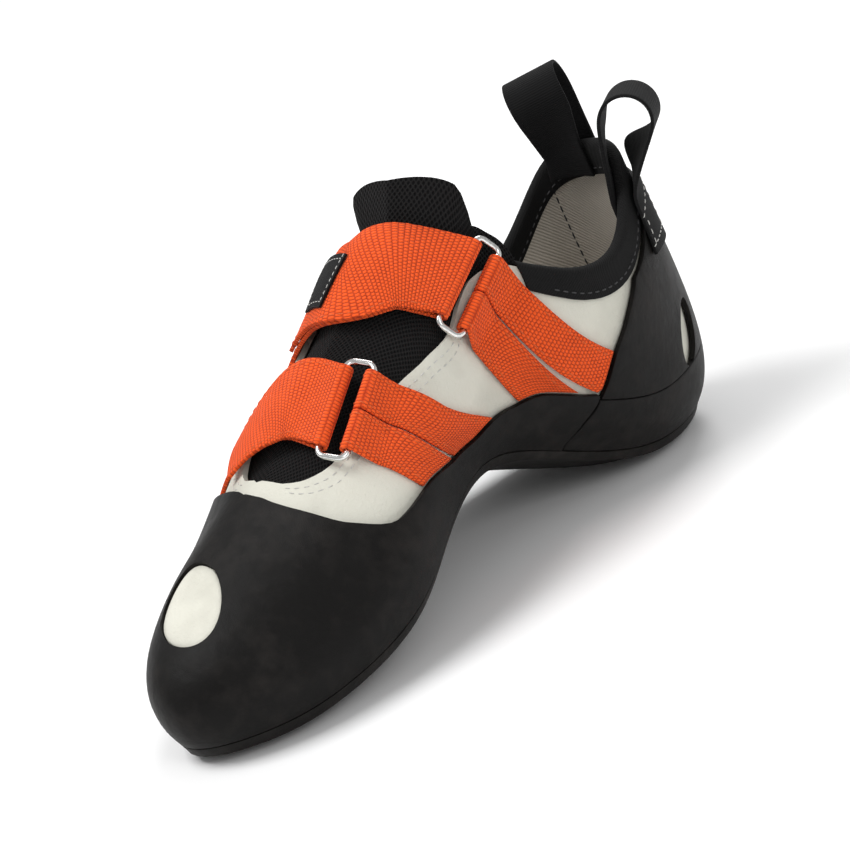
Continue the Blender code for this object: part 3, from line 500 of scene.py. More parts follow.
class Last:
    """The surface that every piece of the shoe is cut from."""

    length_steps = 16
    march_steps = 4
    crease_inset = 0.05

    def __init__(self) -> None:
        """Solve all curves of the tables."""
        self.curves = {}
        feather = (("along", LENGTH), ("across", BREADTH), ("rise", ARCH_RISE))
        for name, scale in feather:
            self.curves[name] = self._curve(SECTIONS, "med_" + name, scale, "lat_" + name)
        shared = (("sag", ARCH_RISE), ("top_along", LENGTH), ("top_centre", BREADTH), ("top_instep", INSTEP))
        for name, scale in shared:
            self.curves[name] = self._curve(SECTIONS, name, scale, name)
        self.curves["top_half"] = self._curve(SECTIONS, "top_half", BREADTH, "top_half", -1.0)
        self.curves["top_heel"] = self._curve(SECTIONS, "med_heel", HEEL_HEIGHT, "lat_heel")
        bulge = (("low_out", BREADTH), ("low_up", INSTEP), ("high_out", BREADTH), ("high_down", INSTEP))
        for name, scale in bulge:
            self.curves[name] = self._curve(WALLS, "med_" + name, scale, "lat_" + name)

    @staticmethod
    def _curve(rows: Sequence[tuple], medial: str, scale: float, lateral: str,
               sign: float = 1.0) -> RingCurve:
        """Ring curve through two columns of a table.

        Args:
            rows: The table.
            medial: Column of the inner side.
            scale: Metres for a share of 1.
            lateral: Column of the outer side.
            sign: Sign of the outer values.

        Returns:
            The curve.
        """
        return RingCurve.through(
            [row.place for row in rows],
            [getattr(row, medial) * scale for row in rows],
            [getattr(row, lateral) * scale * sign for row in rows],
        )

    def feather(self, place: np.ndarray) -> np.ndarray:
        """Points of the line where the wall meets the sole.

        Args:
            place: Ring places.

        Returns:
            Points in metres.
        """
        read = self.curves
        rise = SOLE + SOLE_GAP + read["rise"](place)
        return np.stack([read["across"](place), -read["along"](place), rise], -1)

    def outward(self, place: np.ndarray) -> np.ndarray:
        """Level unit direction out of the outline."""
        along = self.feather(place + DIFF) - self.feather(place - DIFF)
        return unit(np.stack([-along[..., 1], along[..., 0], np.zeros_like(along[..., 0])], -1))

    def point(self, place: np.ndarray, height: np.ndarray) -> np.ndarray:
        """Points of the surface at ring places and heights.

        Args:
            place: Ring places.
            height: Heights; past 1 the closed part runs down the other side.

        Returns:
            Points in metres.
        """
        place, height = np.broadcast_arrays(np.asarray(place, float), np.asarray(height, float))
        share = side_share(place)
        closed = share >= CLOSED_FROM
        over = closed & (height > 1.0)
        place = np.where(over, 2.0 - place, place)
        height = np.where(over, 2.0 - height, height)
        read = self.curves
        foot = self.feather(place)
        out = self.outward(place)
        up = np.array([0.0, 0.0, 1.0])
        crest = np.where(closed, share, place)
        half = np.where(closed, 0.0, read["top_half"](place))
        top = np.stack([
            read["top_centre"](crest) + half, -read["top_along"](crest),
            read["top_instep"](crest) + read["top_heel"](crest),
        ], -1)
        low = foot + out * read["low_out"](place)[..., None] + up * read["low_up"](place)[..., None]
        high = top + out * read["high_out"](place)[..., None] - up * read["high_down"](place)[..., None]
        w = height[..., None]
        return (1 - w) ** 3 * foot + 3 * (1 - w) ** 2 * w * low + 3 * (1 - w) * w ** 2 * high + w ** 3 * top

    def _own_normal(self, place: np.ndarray, height: np.ndarray) -> np.ndarray:
        """Outward unit normal of one side.

        Args:
            place: Ring places.
            height: Heights.

        Returns:
            Unit vectors.
        """
        height = np.clip(height, 0.0, 1.0 - RIDGE_CLEAR)
        along = self.point(place + DIFF, height) - self.point(place - DIFF, height)
        rising = self.point(place, height + DIFF) - self.point(place, height - DIFF)
        return unit(np.cross(rising, along))

    def normal(self, place: np.ndarray, height: np.ndarray) -> np.ndarray:
        """Outward unit normal, shared by both sides on the ridge.

        Args:
            place: Ring places.
            height: Heights.

        Returns:
            Unit vectors.
        """
        place, height = np.broadcast_arrays(np.asarray(place, float), np.asarray(height, float))
        share = side_share(place)
        over = (share >= CLOSED_FROM) & (height > 1.0)
        side = np.where(over, 2.0 - place, place)
        level = np.where(over, 2.0 - height, height)
        blend = np.clip((level - RIDGE_FROM) / RIDGE_SPAN, 0.0, 1.0) * 0.5 * (share >= CLOSED_FROM)
        own = self._own_normal(side, level)
        other = self._own_normal(2.0 - side, level)
        return unit(own * (1 - blend[..., None]) + other * blend[..., None])

    def lifted(self, place: np.ndarray, height: np.ndarray, lift: np.ndarray) -> np.ndarray:
        """Points at a distance outside the surface.

        Args:
            place: Ring places.
            height: Heights.
            lift: Metres outward.

        Returns:
            Points in metres.
        """
        place, height, lift = np.broadcast_arrays(
            np.asarray(place, float), np.asarray(height, float), np.asarray(lift, float))
        return self.point(place, height) + self.normal(place, height) * lift[..., None]

    def length(self, place: np.ndarray) -> np.ndarray:
        """Length of the wall from the feather line to its top.

        Args:
            place: Ring places.

        Returns:
            Metres.
        """
        place = np.asarray(place, float)
        heights = np.linspace(0.0, 1.0, self.length_steps + 1)
        line = np.stack([self.point(place, np.full_like(place, height)) for height in heights], 0)
        return np.linalg.norm(np.diff(line, axis=0), axis=-1).sum(0)

    def march(self, place: np.ndarray, height: np.ndarray, direction: np.ndarray,
              distance: np.ndarray) -> tuple[np.ndarray, np.ndarray]:
        """Walk over the surface.

        Args:
            place: Ring places to start from.
            height: Heights to start from.
            direction: Unit directions, one for each start.
            distance: Metres to walk.

        Returns:
            Ring places and heights at the ends of the walks.
        """
        place, height, distance = [np.array(a) for a in np.broadcast_arrays(
            np.asarray(place, float), np.asarray(height, float), np.asarray(distance, float))]
        step = direction * distance[..., None] / self.march_steps
        for _ in range(self.march_steps):
            along = (self.point(place + DIFF, height) - self.point(place - DIFF, height)) / (2 * DIFF)
            rising = (self.point(place, height + DIFF) - self.point(place, height - DIFF)) / (2 * DIFF)
            aa = (along * along).sum(-1)
            ar = (along * rising).sum(-1)
            rr = (rising * rising).sum(-1)
            pa = (along * step).sum(-1)
            pr = (rising * step).sum(-1)
            det = aa * rr - ar * ar
            place = place + (rr * pa - ar * pr) / det
            height = height + (aa * pr - ar * pa) / det
        return place, height

    def relief(self, points: np.ndarray, creases: Sequence[Crease]) -> np.ndarray:
        """Depth of soft troughs at points of the wall.

        Args:
            points: Points of the wall.
            creases: The troughs.

        Returns:
            Metres, zero or less.
        """
        total = np.zeros(points.shape[:-1])
        for crease in creases:
            start = self.point(crease.place, crease.height)
            end = self.point(crease.end_place, crease.end_height)
            run = end - start
            share = np.clip(((points - start) @ run) / (run @ run), 0.0, 1.0)
            gap = np.linalg.norm(points - start - share[..., None] * run, axis=-1)
            inside = share * (1 - 2 * self.crease_inset) + self.crease_inset
            fade = np.sin(np.clip(inside, 0.0, 1.0) * math.pi) ** 0.5
            total -= crease.depth * fade * np.exp(-(gap / crease.width) ** 2)
        return total


LAST = Last()


class Nodes:
    """Short-hand for laying out the nodes of one material."""

    def __init__(self, name: str) -> None:
        """Start a material with its shader and output.

        Args:
            name: Name of the material.
        """
        self.material = bpy.data.materials.new(name)
        self.material.use_nodes = True
        self.tree = self.material.node_tree
        self.shader = self.tree.nodes["Principled BSDF"]

    def add(self, kind: str, **settings: object) -> bpy.types.Node:
        """Add a node and set its attributes.

        Args:
            kind: Type of the node.
            settings: Attributes to set.

        Returns:
            The node.
        """
        node = self.tree.nodes.new(kind)
        for key, value in settings.items():
            setattr(node, key, value)
        return node

    def link(self, start: bpy.types.NodeSocket, end: bpy.types.NodeSocket) -> None:
        """Join two sockets."""
        self.tree.links.new(start, end)

    def math(self, operation: str, first: object, second: object = None) -> bpy.types.NodeSocket:
        """Math node on sockets or numbers.

        Args:
            operation: Name of the operation.
            first: Socket or number.
            second: Socket, number or nothing.

        Returns:
            The result's socket.
        """
        node = self.add("ShaderNodeMath", operation=operation)
        for slot, value in enumerate((first, second)):
            if value is None:
                continue
            if isinstance(value, (int, float)):
                node.inputs[slot].default_value = value
            else:
                self.link(value, node.inputs[slot])
        return node.outputs[0]

    def where(self, kind: str = "Object") -> bpy.types.NodeSocket:
        """Coordinates of the object or its UV map, in metres."""
        return self.add("ShaderNodeTexCoord").outputs[kind]

    def split(self, coordinates: bpy.types.NodeSocket) -> tuple[bpy.types.NodeSocket, bpy.types.NodeSocket]:
        """Part a coordinate in two.

        Args:
            coordinates: Socket of the UV map.

        Returns:
            Sockets of the distances along and across.
        """
        node = self.add("ShaderNodeSeparateXYZ")
        self.link(coordinates, node.inputs[0])
        return node.outputs[0], node.outputs[1]

    def waves(self, distance: bpy.types.NodeSocket, pitch: float) -> bpy.types.NodeSocket:
        """Round ridges with one to each pitch."""
        return self.math("ABSOLUTE", self.math("SINE", self.math("MULTIPLY", distance, math.pi / pitch)))

    def noise(self, coordinates: bpy.types.NodeSocket, per_metre: float,
              detail: float) -> bpy.types.NodeSocket:
        """Noise with a number of features to the metre.

        Args:
            coordinates: Socket to read.
            per_metre: Features to the metre.
            detail: Finer layers.

        Returns:
            Socket of the noise.
        """
        node = self.add("ShaderNodeTexNoise")
        node.inputs["Scale"].default_value = per_metre
        node.inputs["Detail"].default_value = detail
        self.link(coordinates, node.inputs["Vector"])
        return node.outputs["Fac"]

    def ramp(self, factor: bpy.types.NodeSocket, stops: Sequence[tuple]) -> bpy.types.NodeSocket:
        """Colour ramp through (position, colour) stops.

        Args:
            factor: Socket from 0 to 1.
            stops: Pairs of position and colour.

        Returns:
            Socket of the colour.
        """
        node = self.add("ShaderNodeValToRGB")
        while len(node.color_ramp.elements) < len(stops):
            node.color_ramp.elements.new(0.5)
        for element, (position, colour) in zip(node.color_ramp.elements, stops):
            element.position = position
            element.color = (*colour, 1.0)
        self.link(factor, node.inputs["Fac"])
        return node.outputs["Color"]

    def remap(self, factor: bpy.types.NodeSocket, low: float, high: float) -> bpy.types.NodeSocket:
        """Factor from 0..1 spread over a new range."""
        return self.math("ADD", self.math("MULTIPLY", factor, high - low), low)

    def bump(self, heights: Sequence[tuple]) -> None:
        """Chain bump nodes from (socket, depth in metres) into the shader's normal.

        Args:
            heights: Pairs of height socket and depth in metres.
        """
        before: Optional[bpy.types.NodeSocket] = None
        for height, depth in heights:
            node = self.add("ShaderNodeBump")
            node.inputs["Strength"].default_value = 1.0
            node.inputs["Distance"].default_value = depth
            self.link(height, node.inputs["Height"])
            if before is not None:
                self.link(before, node.inputs["Normal"])
            before = node.outputs["Normal"]
        if before is not None:
            self.link(before, self.shader.inputs["Normal"])

    def fixed(self, **values: float) -> None:
        """Set numbers on the shader's own sockets; underscores stand for spaces."""
        for key, value in values.items():
            self.shader.inputs[key.replace("_", " ")].default_value = value


@dataclass(frozen=True)
class Microfibre:
    """Off-white synthetic leather with a fine nap and faint dirt."""

    name: str = "finish_microfibre"
    clean: tuple = (0.66, 0.65, 0.57)
    dull: tuple = (0.55, 0.54, 0.47)

    def make(self) -> bpy.types.Material:
        """Build the material.

        Returns:
            The material.
        """
        n = Nodes(self.name)
        at = n.where()
        broad = n.noise(at, per_metre=45, detail=4)
        grain = n.noise(at, per_metre=2600, detail=2)
        pebble = n.noise(at, per_metre=900, detail=3)
        n.link(n.ramp(broad, [(0.32, self.dull), (0.55, self.clean)]), n.shader.inputs["Base Color"])
        n.link(n.remap(grain, 0.62, 0.82), n.shader.inputs["Roughness"])
        n.bump([(pebble, 0.00022), (grain, 0.00010)])
        n.fixed(Sheen_Weight=0.05, Sheen_Roughness=0.5, Specular_IOR_Level=0.25)
        return n.material


@dataclass(frozen=True)
class Rubber:
    """Matt near-black rubber with handling marks."""

    name: str
    dark: tuple
    worn: tuple
    low: float
    high: float
    grain: float = 0.00010

    def make(self) -> bpy.types.Material:
        """Build the material.

        Returns:
            The material.
        """
        n = Nodes(self.name)
        at = n.where()
        clouds = n.noise(at, per_metre=38, detail=5)
        scuff = n.noise(at, per_metre=210, detail=6)
        fine = n.noise(at, per_metre=3800, detail=2)
        mixed = n.math("MULTIPLY", clouds, scuff)
        n.link(n.ramp(mixed, [(0.20, self.dark), (0.42, self.worn)]), n.shader.inputs["Base Color"])
        n.link(n.remap(scuff, self.low, self.high), n.shader.inputs["Roughness"])
        n.bump([(clouds, 0.0012), (scuff, 0.00022), (fine, self.grain)])
        n.fixed(Specular_IOR_Level=0.15)
        return n.material


@dataclass(frozen=True)
class Webbing:
    """Woven webbing with cross ribs and yarns along it, read from the UV map in metres."""

    name: str
    light: tuple
    deep: tuple
    rib: float = 0.00135
    yarn: float = 0.00115
    depth: float = 0.00042

    def make(self) -> bpy.types.Material:
        """Build the material.

        Returns:
            The material.
        """
        n = Nodes(self.name)
        uv = n.where("UV")
        along, across = n.split(uv)
        ribs = n.waves(along, self.rib)
        row = n.math("MODULO", n.math("FLOOR", n.math("DIVIDE", along, self.rib)), 2.0)
        shift = n.math("ADD", across, n.math("MULTIPLY", row, self.yarn / 2))
        yarns = n.waves(shift, self.yarn)
        weave = n.math("MULTIPLY", n.math("POWER", ribs, 0.6), n.math("POWER", yarns, 0.6))
        fuzz = n.noise(uv, per_metre=5200, detail=2)
        patches = n.noise(uv, per_metre=120, detail=3)
        tone = n.math("ADD", n.math("MULTIPLY", weave, 0.75), n.math("MULTIPLY", patches, 0.35))
        n.link(n.ramp(tone, [(0.12, self.deep), (0.75, self.light)]), n.shader.inputs["Base Color"])
        n.link(n.remap(fuzz, 0.70, 0.92), n.shader.inputs["Roughness"])
        n.bump([(weave, self.depth), (fuzz, 0.00006)])
        n.fixed(Sheen_Weight=0.04, Sheen_Roughness=0.6, Specular_IOR_Level=0.18)
        return n.material


@dataclass(frozen=True)
class Knit:
    """Black stretch mesh with small open cells."""

    name: str = "finish_stretch_mesh"
    thread: tuple = (0.0125, 0.0120, 0.0120)
    hole: tuple = (0.0015, 0.0015, 0.0018)
    cell: float = 0.0016

    def make(self) -> bpy.types.Material:
        """Build the material.

        Returns:
            The material.
        """
        n = Nodes(self.name)
        uv = n.where("UV")
        along, across = n.split(uv)
        rising = n.waves(n.math("ADD", along, across), self.cell)
        falling = n.waves(n.math("SUBTRACT", along, across), self.cell)
        open_cell = n.math("MULTIPLY", rising, falling)
        raised = n.math("SUBTRACT", 1.0, open_cell)
        fuzz = n.noise(uv, per_metre=4200, detail=2)
        n.link(n.ramp(raised, [(0.30, self.hole), (0.75, self.thread)]), n.shader.inputs["Base Color"])
        n.link(n.remap(fuzz, 0.78, 0.95), n.shader.inputs["Roughness"])
        n.bump([(raised, 0.00034), (fuzz, 0.00006)])
        n.fixed(Sheen_Weight=0.04, Sheen_Roughness=0.4, Specular_IOR_Level=0.12)
        return n.material


@dataclass(frozen=True)
class Twill:
    """Cloth with slanted ribs, for the lining, the tapes and the label."""

    name: str
    light: tuple
    deep: tuple
    pitch: float
    depth: float
    slope: float = 1.0

    def make(self) -> bpy.types.Material:
        """Build the material.

        Returns:
            The material.
        """
        n = Nodes(self.name)
        uv = n.where("UV")
        along, across = n.split(uv)
        slanted = n.math("ADD", along, n.math("MULTIPLY", across, self.slope))
        ribs = n.waves(slanted, self.pitch)
        fuzz = n.noise(uv, per_metre=3600, detail=2)
        patches = n.noise(uv, per_metre=90, detail=3)
        tone = n.math("ADD", n.math("MULTIPLY", ribs, 0.6), n.math("MULTIPLY", patches, 0.5))
        n.link(n.ramp(tone, [(0.15, self.deep), (0.85, self.light)]), n.shader.inputs["Base Color"])
        n.link(n.remap(fuzz, 0.72, 0.92), n.shader.inputs["Roughness"])
        n.bump([(ribs, self.depth), (fuzz, 0.00005)])
        n.fixed(Sheen_Weight=0.02, Sheen_Roughness=0.5, Specular_IOR_Level=0.14)
        return n.material


@dataclass(frozen=True)
class Steel:
    """Polished wire with fine draw marks."""

    name: str = "finish_steel_wire"
    bright: tuple = (0.78, 0.78, 0.76)
    dim: tuple = (0.62, 0.62, 0.61)

    def make(self) -> bpy.types.Material:
        """Build the material.

        Returns:
            The material.
        """
        n = Nodes(self.name)
        at = n.where()
        marks = n.noise(at, per_metre=900, detail=4)
        n.link(n.ramp(marks, [(0.3, self.dim), (0.6, self.bright)]), n.shader.inputs["Base Color"])
        n.link(n.remap(marks, 0.12, 0.30), n.shader.inputs["Roughness"])
        n.bump([(marks, 0.00002)])
        n.fixed(Metallic=1.0)
        return n.material


@dataclass(frozen=True)
class Thread:
    """Twisted sewing thread."""

    name: str
    colour: tuple
    shade: tuple

    def make(self) -> bpy.types.Material:
        """Build the material.

        Returns:
            The material.
        """
        n = Nodes(self.name)
        at = n.where()
        twist = n.noise(at, per_metre=2400, detail=2)
        n.link(n.ramp(twist, [(0.3, self.shade), (0.6, self.colour)]), n.shader.inputs["Base Color"])
        n.link(n.remap(twist, 0.5, 0.75), n.shader.inputs["Roughness"])
        n.bump([(twist, 0.00008)])
        return n.material


@dataclass(frozen=True)
class FloorPaint:
    """Matt pale paint of the studio's floor."""

    name: str = "studio_floor"
    dull: tuple = (0.93, 0.93, 0.93)
    clean: tuple = (0.95, 0.95, 0.95)

    def make(self) -> bpy.types.Material:
        """Build the material.

        Returns:
            The material.
        """
        n = Nodes(self.name)
        clouds = n.noise(n.where(), per_metre=3, detail=2)
        n.link(n.ramp(clouds, [(0.3, self.dull), (0.7, self.clean)]), n.shader.inputs["Base Color"])
        n.fixed(Roughness=0.9, Specular_IOR_Level=0.1)
        return n.material


class Finishes:
    """Every finish of the shoe, made once."""

    def __init__(self) -> None:
        """Build all materials."""
        self.microfibre = Microfibre().make()
        self.rubber = Rubber(
            "finish_black_rubber", dark=(0.0030, 0.0025, 0.0022), worn=(0.0125, 0.0106, 0.0096),
            low=0.40, high=0.60).make()
        self.sole = Rubber(
            "finish_sole_rubber", dark=(0.0065, 0.0056, 0.0050), worn=(0.0200, 0.0175, 0.0160),
            low=0.42, high=0.62).make()
        self.webbing = Webbing(
            "finish_orange_webbing", light=(0.93, 0.108, 0.014), deep=(0.40, 0.028, 0.004)).make()
        self.knit = Knit().make()
        self.lining = Twill(
            "finish_lining", light=(0.62, 0.57, 0.50), deep=(0.40, 0.36, 0.31),
            pitch=0.0013, depth=0.00020).make()
        self.footbed = Twill(
            "finish_footbed", light=(0.42, 0.41, 0.39), deep=(0.30, 0.29, 0.28),
            pitch=0.0016, depth=0.00015, slope=-0.6).make()
        self.binding = Twill(
            "finish_black_binding", light=(0.0085, 0.0083, 0.0083), deep=(0.0035, 0.0035, 0.0038),
            pitch=0.0009, depth=0.00012).make()
        self.tape = Twill(
            "finish_pull_tape", light=(0.0075, 0.0074, 0.0076), deep=(0.0032, 0.0032, 0.0035),
            pitch=0.0007, depth=0.00010, slope=0.0).make()
        self.label = Twill(
            "finish_label", light=(0.0085, 0.0085, 0.0090), deep=(0.0040, 0.0040, 0.0045),
            pitch=0.0005, depth=0.00005, slope=0.0).make()
        self.steel = Steel().make()
        self.orange_thread = Thread(
            "finish_orange_thread", colour=(0.72, 0.115, 0.015), shade=(0.46, 0.06, 0.008)).make()
        self.pale_thread = Thread(
            "finish_pale_thread", colour=(0.60, 0.59, 0.56), shade=(0.42, 0.41, 0.39)).make()
        self.dark_thread = Thread(
            "finish_dark_thread", colour=(0.045, 0.045, 0.047), shade=(0.02, 0.02, 0.021)).make()


class Maker:
    """Turns grids of points into pieces that ride on the shoe."""

    round_from = 50.0
    crisp_from = 55.0
    thread_sides = 6
    stitch_shares = (0.0, 0.18, 0.5, 0.82, 1.0)
    stitch_swell = (0.30, 0.85, 1.0, 0.85, 0.30)
    stitch_lift = (-0.9, 0.0, 0.25, 0.0, -0.9)

    @staticmethod
    def uv_grid(sheet: np.ndarray) -> tuple[np.ndarray, np.ndarray]:
        """Distances along the rows and across the columns of a grid, in metres.

        Args:
            sheet: Grid of points.

        Returns:
            Distances along and across, one for each point.
        """
        along = np.zeros(sheet.shape[:2])
        along[1:] = np.cumsum(np.linalg.norm(np.diff(sheet, axis=0), axis=-1).mean(1))[:, None]
        across = np.zeros(sheet.shape[:2])
        across[:, 1:] = np.cumsum(np.linalg.norm(np.diff(sheet, axis=1), axis=-1), axis=1)
        return along, across - across[:, -1:] / 2

    @classmethod
    def between(cls, name: str, inner: np.ndarray, outer: np.ndarray, finishes: Sequence[bpy.types.Material],
                wrap: bool = False, sharp: float = 40.0) -> bpy.types.Object:
        """Solid between two sheets of the same grid.

        Args:
            name: Name of the piece.
            inner: Grid of points, rows by columns by three.
            outer: Grid of the same shape.
            finishes: Outer finish, and the inner one where it differs.
            wrap: Whether the last row joins the first.
            sharp: Degrees from which an edge is crisp.

        Returns:
            The new object, with a UV map in metres.
        """
        rows, columns = inner.shape[:2]
        points = np.concatenate([inner.reshape(-1, 3), outer.reshape(-1, 3)]) + SHIFT
        shift = rows * columns
        closed = np.concatenate([outer, outer[:1]]) if wrap else outer
        along, across = cls.uv_grid(closed)
        faces: list[tuple] = []
        marks: list[tuple] = []

        def corner(i: int, j: int, side: int) -> tuple[int, float, float]:
            """Point number and UV place of one corner."""
            return (i % rows) * columns + j + side * shift, float(along[i, j]), float(across[i, j])

        last_row = rows if wrap else rows - 1
        for i in range(last_row):
            for j in range(columns - 1):
                for side in (0, 1):
                    faces.append((corner(i, j, side), corner(i + 1, j, side),
                                  corner(i + 1, j + 1, side), corner(i, j + 1, side)))
                    marks.append((1 - side,))
            for j in (0, columns - 1):
                faces.append((corner(i, j, 0), corner(i + 1, j, 0), corner(i + 1, j, 1), corner(i, j, 1)))
                marks.append((0,))
        if not wrap:
            for i in (0, rows - 1):
                for j in range(columns - 1):
                    faces.append((corner(i, j, 0), corner(i, j + 1, 0), corner(i, j + 1, 1), corner(i, j, 1)))
                    marks.append((0,))
        return cls.solid(name, points, faces, marks, finishes, sharp)

    @staticmethod
    def solid(name: str, points: np.ndarray, faces: Sequence[tuple], marks: Sequence[tuple],
              finishes: Sequence[bpy.types.Material], sharp: float) -> bpy.types.Object:
        """Mesh object from points and faces; faces that meet back to back are dropped.

        Args:
            name: Name of the piece.
            points: All points.
            faces: Corners as (point, u, v).
            marks: Finish number of each face.
            finishes: Materials of the piece.
            sharp: Degrees from which an edge is crisp.

        Returns:
            The new object.
        """
        near = KDTree(len(points))
        for number, point in enumerate(points):
            near.insert(point, number)
        near.balance()
        index = [min(found[1] for found in near.find_range(point, MERGE)) for point in points]
        groups: dict = {}
        for face, mark in zip(faces, marks):
            corners: list[tuple] = []
            seen: set = set()
            for number, u, v in face:
                if index[number] not in seen:
                    seen.add(index[number])
                    corners.append((index[number], u, v))
            if len(corners) > 2:
                groups.setdefault(frozenset(seen), []).append((corners, mark[0]))
        kept = [same[0] for same in groups.values() if len(same) % 2]
        used = sorted({corner[0] for corners, _ in kept for corner in corners})
        renumber = {old: new for new, old in enumerate(used)}
        mesh = bpy.data.meshes.new(name)
        mesh.from_pydata([tuple(float(v) for v in points[old]) for old in used], [],
                         [[renumber[corner[0]] for corner in corners] for corners, _ in kept])
        layer = mesh.uv_layers.new(name="UVMap")
        flat = [value for corners, _ in kept for corner in corners for value in corner[1:]]
        layer.data.foreach_set("uv", flat)
        for finish in finishes:
            mesh.materials.append(finish)
        top = len(finishes) - 1
        mesh.polygons.foreach_set("material_index", [min(mark, top) for _, mark in kept])
        sheet = bmesh.new()
        sheet.from_mesh(mesh)
        bmesh.ops.recalc_face_normals(sheet, faces=sheet.faces)
        sheet.to_mesh(mesh)
        sheet.free()
        mesh.shade_smooth()
        mesh.set_sharp_from_angle(angle=math.radians(sharp))
        made = bpy.data.objects.new(name, mesh)
        bpy.context.scene.collection.objects.link(made)
        return made

    @classmethod
    def ribbon(cls, name: str, middle: np.ndarray, thickness: float,
               finishes: Sequence[bpy.types.Material]) -> bpy.types.Object:
        """Solid of even thickness on both sides of a middle sheet.

        Args:
            name: Name of the piece.
            middle: Grid of points.
            thickness: Metres.
            finishes: Materials of the piece.

        Returns:
            The new object.
        """
        normal = cls.sheet_normal(middle)
        return cls.between(name, middle - normal * thickness / 2, middle + normal * thickness / 2, finishes)

    @staticmethod
    def sheet_normal(middle: np.ndarray) -> np.ndarray:
        """Unit normals of a grid of points."""
        return unit(np.cross(np.gradient(middle, axis=0), np.gradient(middle, axis=1)))

    @staticmethod
    def settle(rows: np.ndarray, passes: int) -> np.ndarray:
        """Round the bends of a sheet, keeping its first and last row.

        Args:
            rows: Grid of points, changed in place.
            passes: How often each row is drawn toward its neighbours.

        Returns:
            The same grid.
        """
        for _ in range(passes):
            rows[1:-1] = (rows[:-2] + 2 * rows[1:-1] + rows[2:]) / 4
        return rows

    @staticmethod
    def apply(piece: bpy.types.Object) -> None:
        """Replace the piece's mesh by the result of its modifiers.

        Args:
            piece: The piece, changed in place.
        """
        graph = bpy.context.evaluated_depsgraph_get()
        done = bpy.data.meshes.new_from_object(piece.evaluated_get(graph))
        piece.modifiers.clear()
        piece.data = done

    @classmethod
    def soften(cls, piece: bpy.types.Object, width: float) -> None:
        """Round the crisp edges of a piece a little.

        Args:
            piece: The piece, changed in place.
            width: Width of the rounding in metres.
        """
        bevel = piece.modifiers.new("soft_edges", "BEVEL")
        bevel.width = width
        bevel.segments = 2
        bevel.limit_method = "ANGLE"
        bevel.angle_limit = math.radians(cls.round_from)
        cls.apply(piece)
        piece.data.shade_smooth()
        piece.data.set_sharp_from_angle(angle=math.radians(cls.crisp_from))

    @staticmethod
    def mount(piece: bpy.types.Object, slot: str, *nodes: str) -> bpy.types.Object:
        """Let a piece ride on the shoe and stand for CAD nodes.

        Args:
            piece: The piece.
            slot: Not used.
            nodes: Names of the solids that it stands for.

        Returns:
            The same piece.
        """
        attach(piece, "root")
        if nodes:
            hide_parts(*nodes)
        LOG.info("%s: %d faces", piece.name, len(piece.data.polygons))
        return piece

    @classmethod
    def stitches(cls, name: str, lines: Sequence[np.ndarray], ups: Sequence[np.ndarray],
                 finish: bpy.types.Material, slot: str, length: float = 0.0021, gap: float = 0.0009,
                 radius: float = 0.00026) -> bpy.types.Object:
        """Rows of short stitches laid along lines.

        Args:
            name: Name of the piece.
            lines: Lines of points on the cloth.
            ups: Outward normals at the same points.
            finish: Thread finish.
            slot: Not used; passed on to mount, which ignores it.
            length: Length of a stitch.
            gap: Space between stitches.
            radius: Half the thread's thickness.

        Returns:
            One object that holds all stitches.
        """
        points: list[np.ndarray] = []
        faces: list[tuple] = []
        sides, last_ring = cls.thread_sides, len(cls.stitch_shares) - 1
        around = np.linspace(0.0, 2 * math.pi, sides + 1)[:-1]
        swell = np.array(cls.stitch_swell) * radius
        lift = np.array(cls.stitch_lift) * radius
        for line, up in zip(lines, ups):
            run = np.concatenate([[0.0], np.cumsum(np.linalg.norm(np.diff(line, axis=0), axis=-1))])
            count = int((run[-1] + gap) // (length + gap))
            for number in range(count):
                start = number * (length + gap)
                at = start + np.array(cls.stitch_shares) * length
                middle = np.stack([np.interp(at, run, line[:, axis]) for axis in range(3)], -1)
                rise = unit(np.stack([np.interp(at, run, up[:, axis]) for axis in range(3)], -1))
                forward = unit(middle[-1] - middle[0])
                side = unit(np.cross(rise, forward[None, :]))
                base = len(points) * sides
                for k in range(last_ring + 1):
                    ring = (middle[k] + rise[k] * lift[k]
                            + side[k] * np.cos(around)[:, None] * swell[k]
                            + rise[k] * np.sin(around)[:, None] * swell[k])
                    points.append(ring)
                for k in range(last_ring):
                    low, high = base + k * sides, base + (k + 1) * sides
                    for m in range(sides):
                        after = (m + 1) % sides
                        faces.append((low + m, low + after, high + after, high + m))
                faces.append(tuple(base + m for m in range(sides - 1, -1, -1)))
                faces.append(tuple(base + last_ring * sides + m for m in range(sides)))
        mesh = bpy.data.meshes.new(name)
        mesh.from_pydata([tuple(float(v) for v in p + SHIFT) for ring in points for p in ring], [], faces)
        mesh.shade_smooth()
        mesh.materials.append(finish)
        made = bpy.data.objects.new(name, mesh)
        bpy.context.scene.collection.objects.link(made)
        return cls.mount(made, slot)


def fine_places(steps: int) -> np.ndarray:
    """Ring places of one side, closer where edges turn and at the toe tip.

    Args:
        steps: Even steps from the heel back to the toe tip.

    Returns:
        Ring places from 0 to 1.
    """
    corners = np.array([edge.place for edge in THROAT] + [edge.place for edge in RAND])
    return np.unique(np.round(np.concatenate([
        np.linspace(0.0, 1.0, steps + 1), corners, np.linspace(*RAND_TURN), np.linspace(*TOE_TIP)]), 5))


def both_sides(side: np.ndarray) -> np.ndarray:
    """The same places on the inner side and back along the outer side."""
    return np.concatenate([side, 2.0 - side[-2:0:-1]])


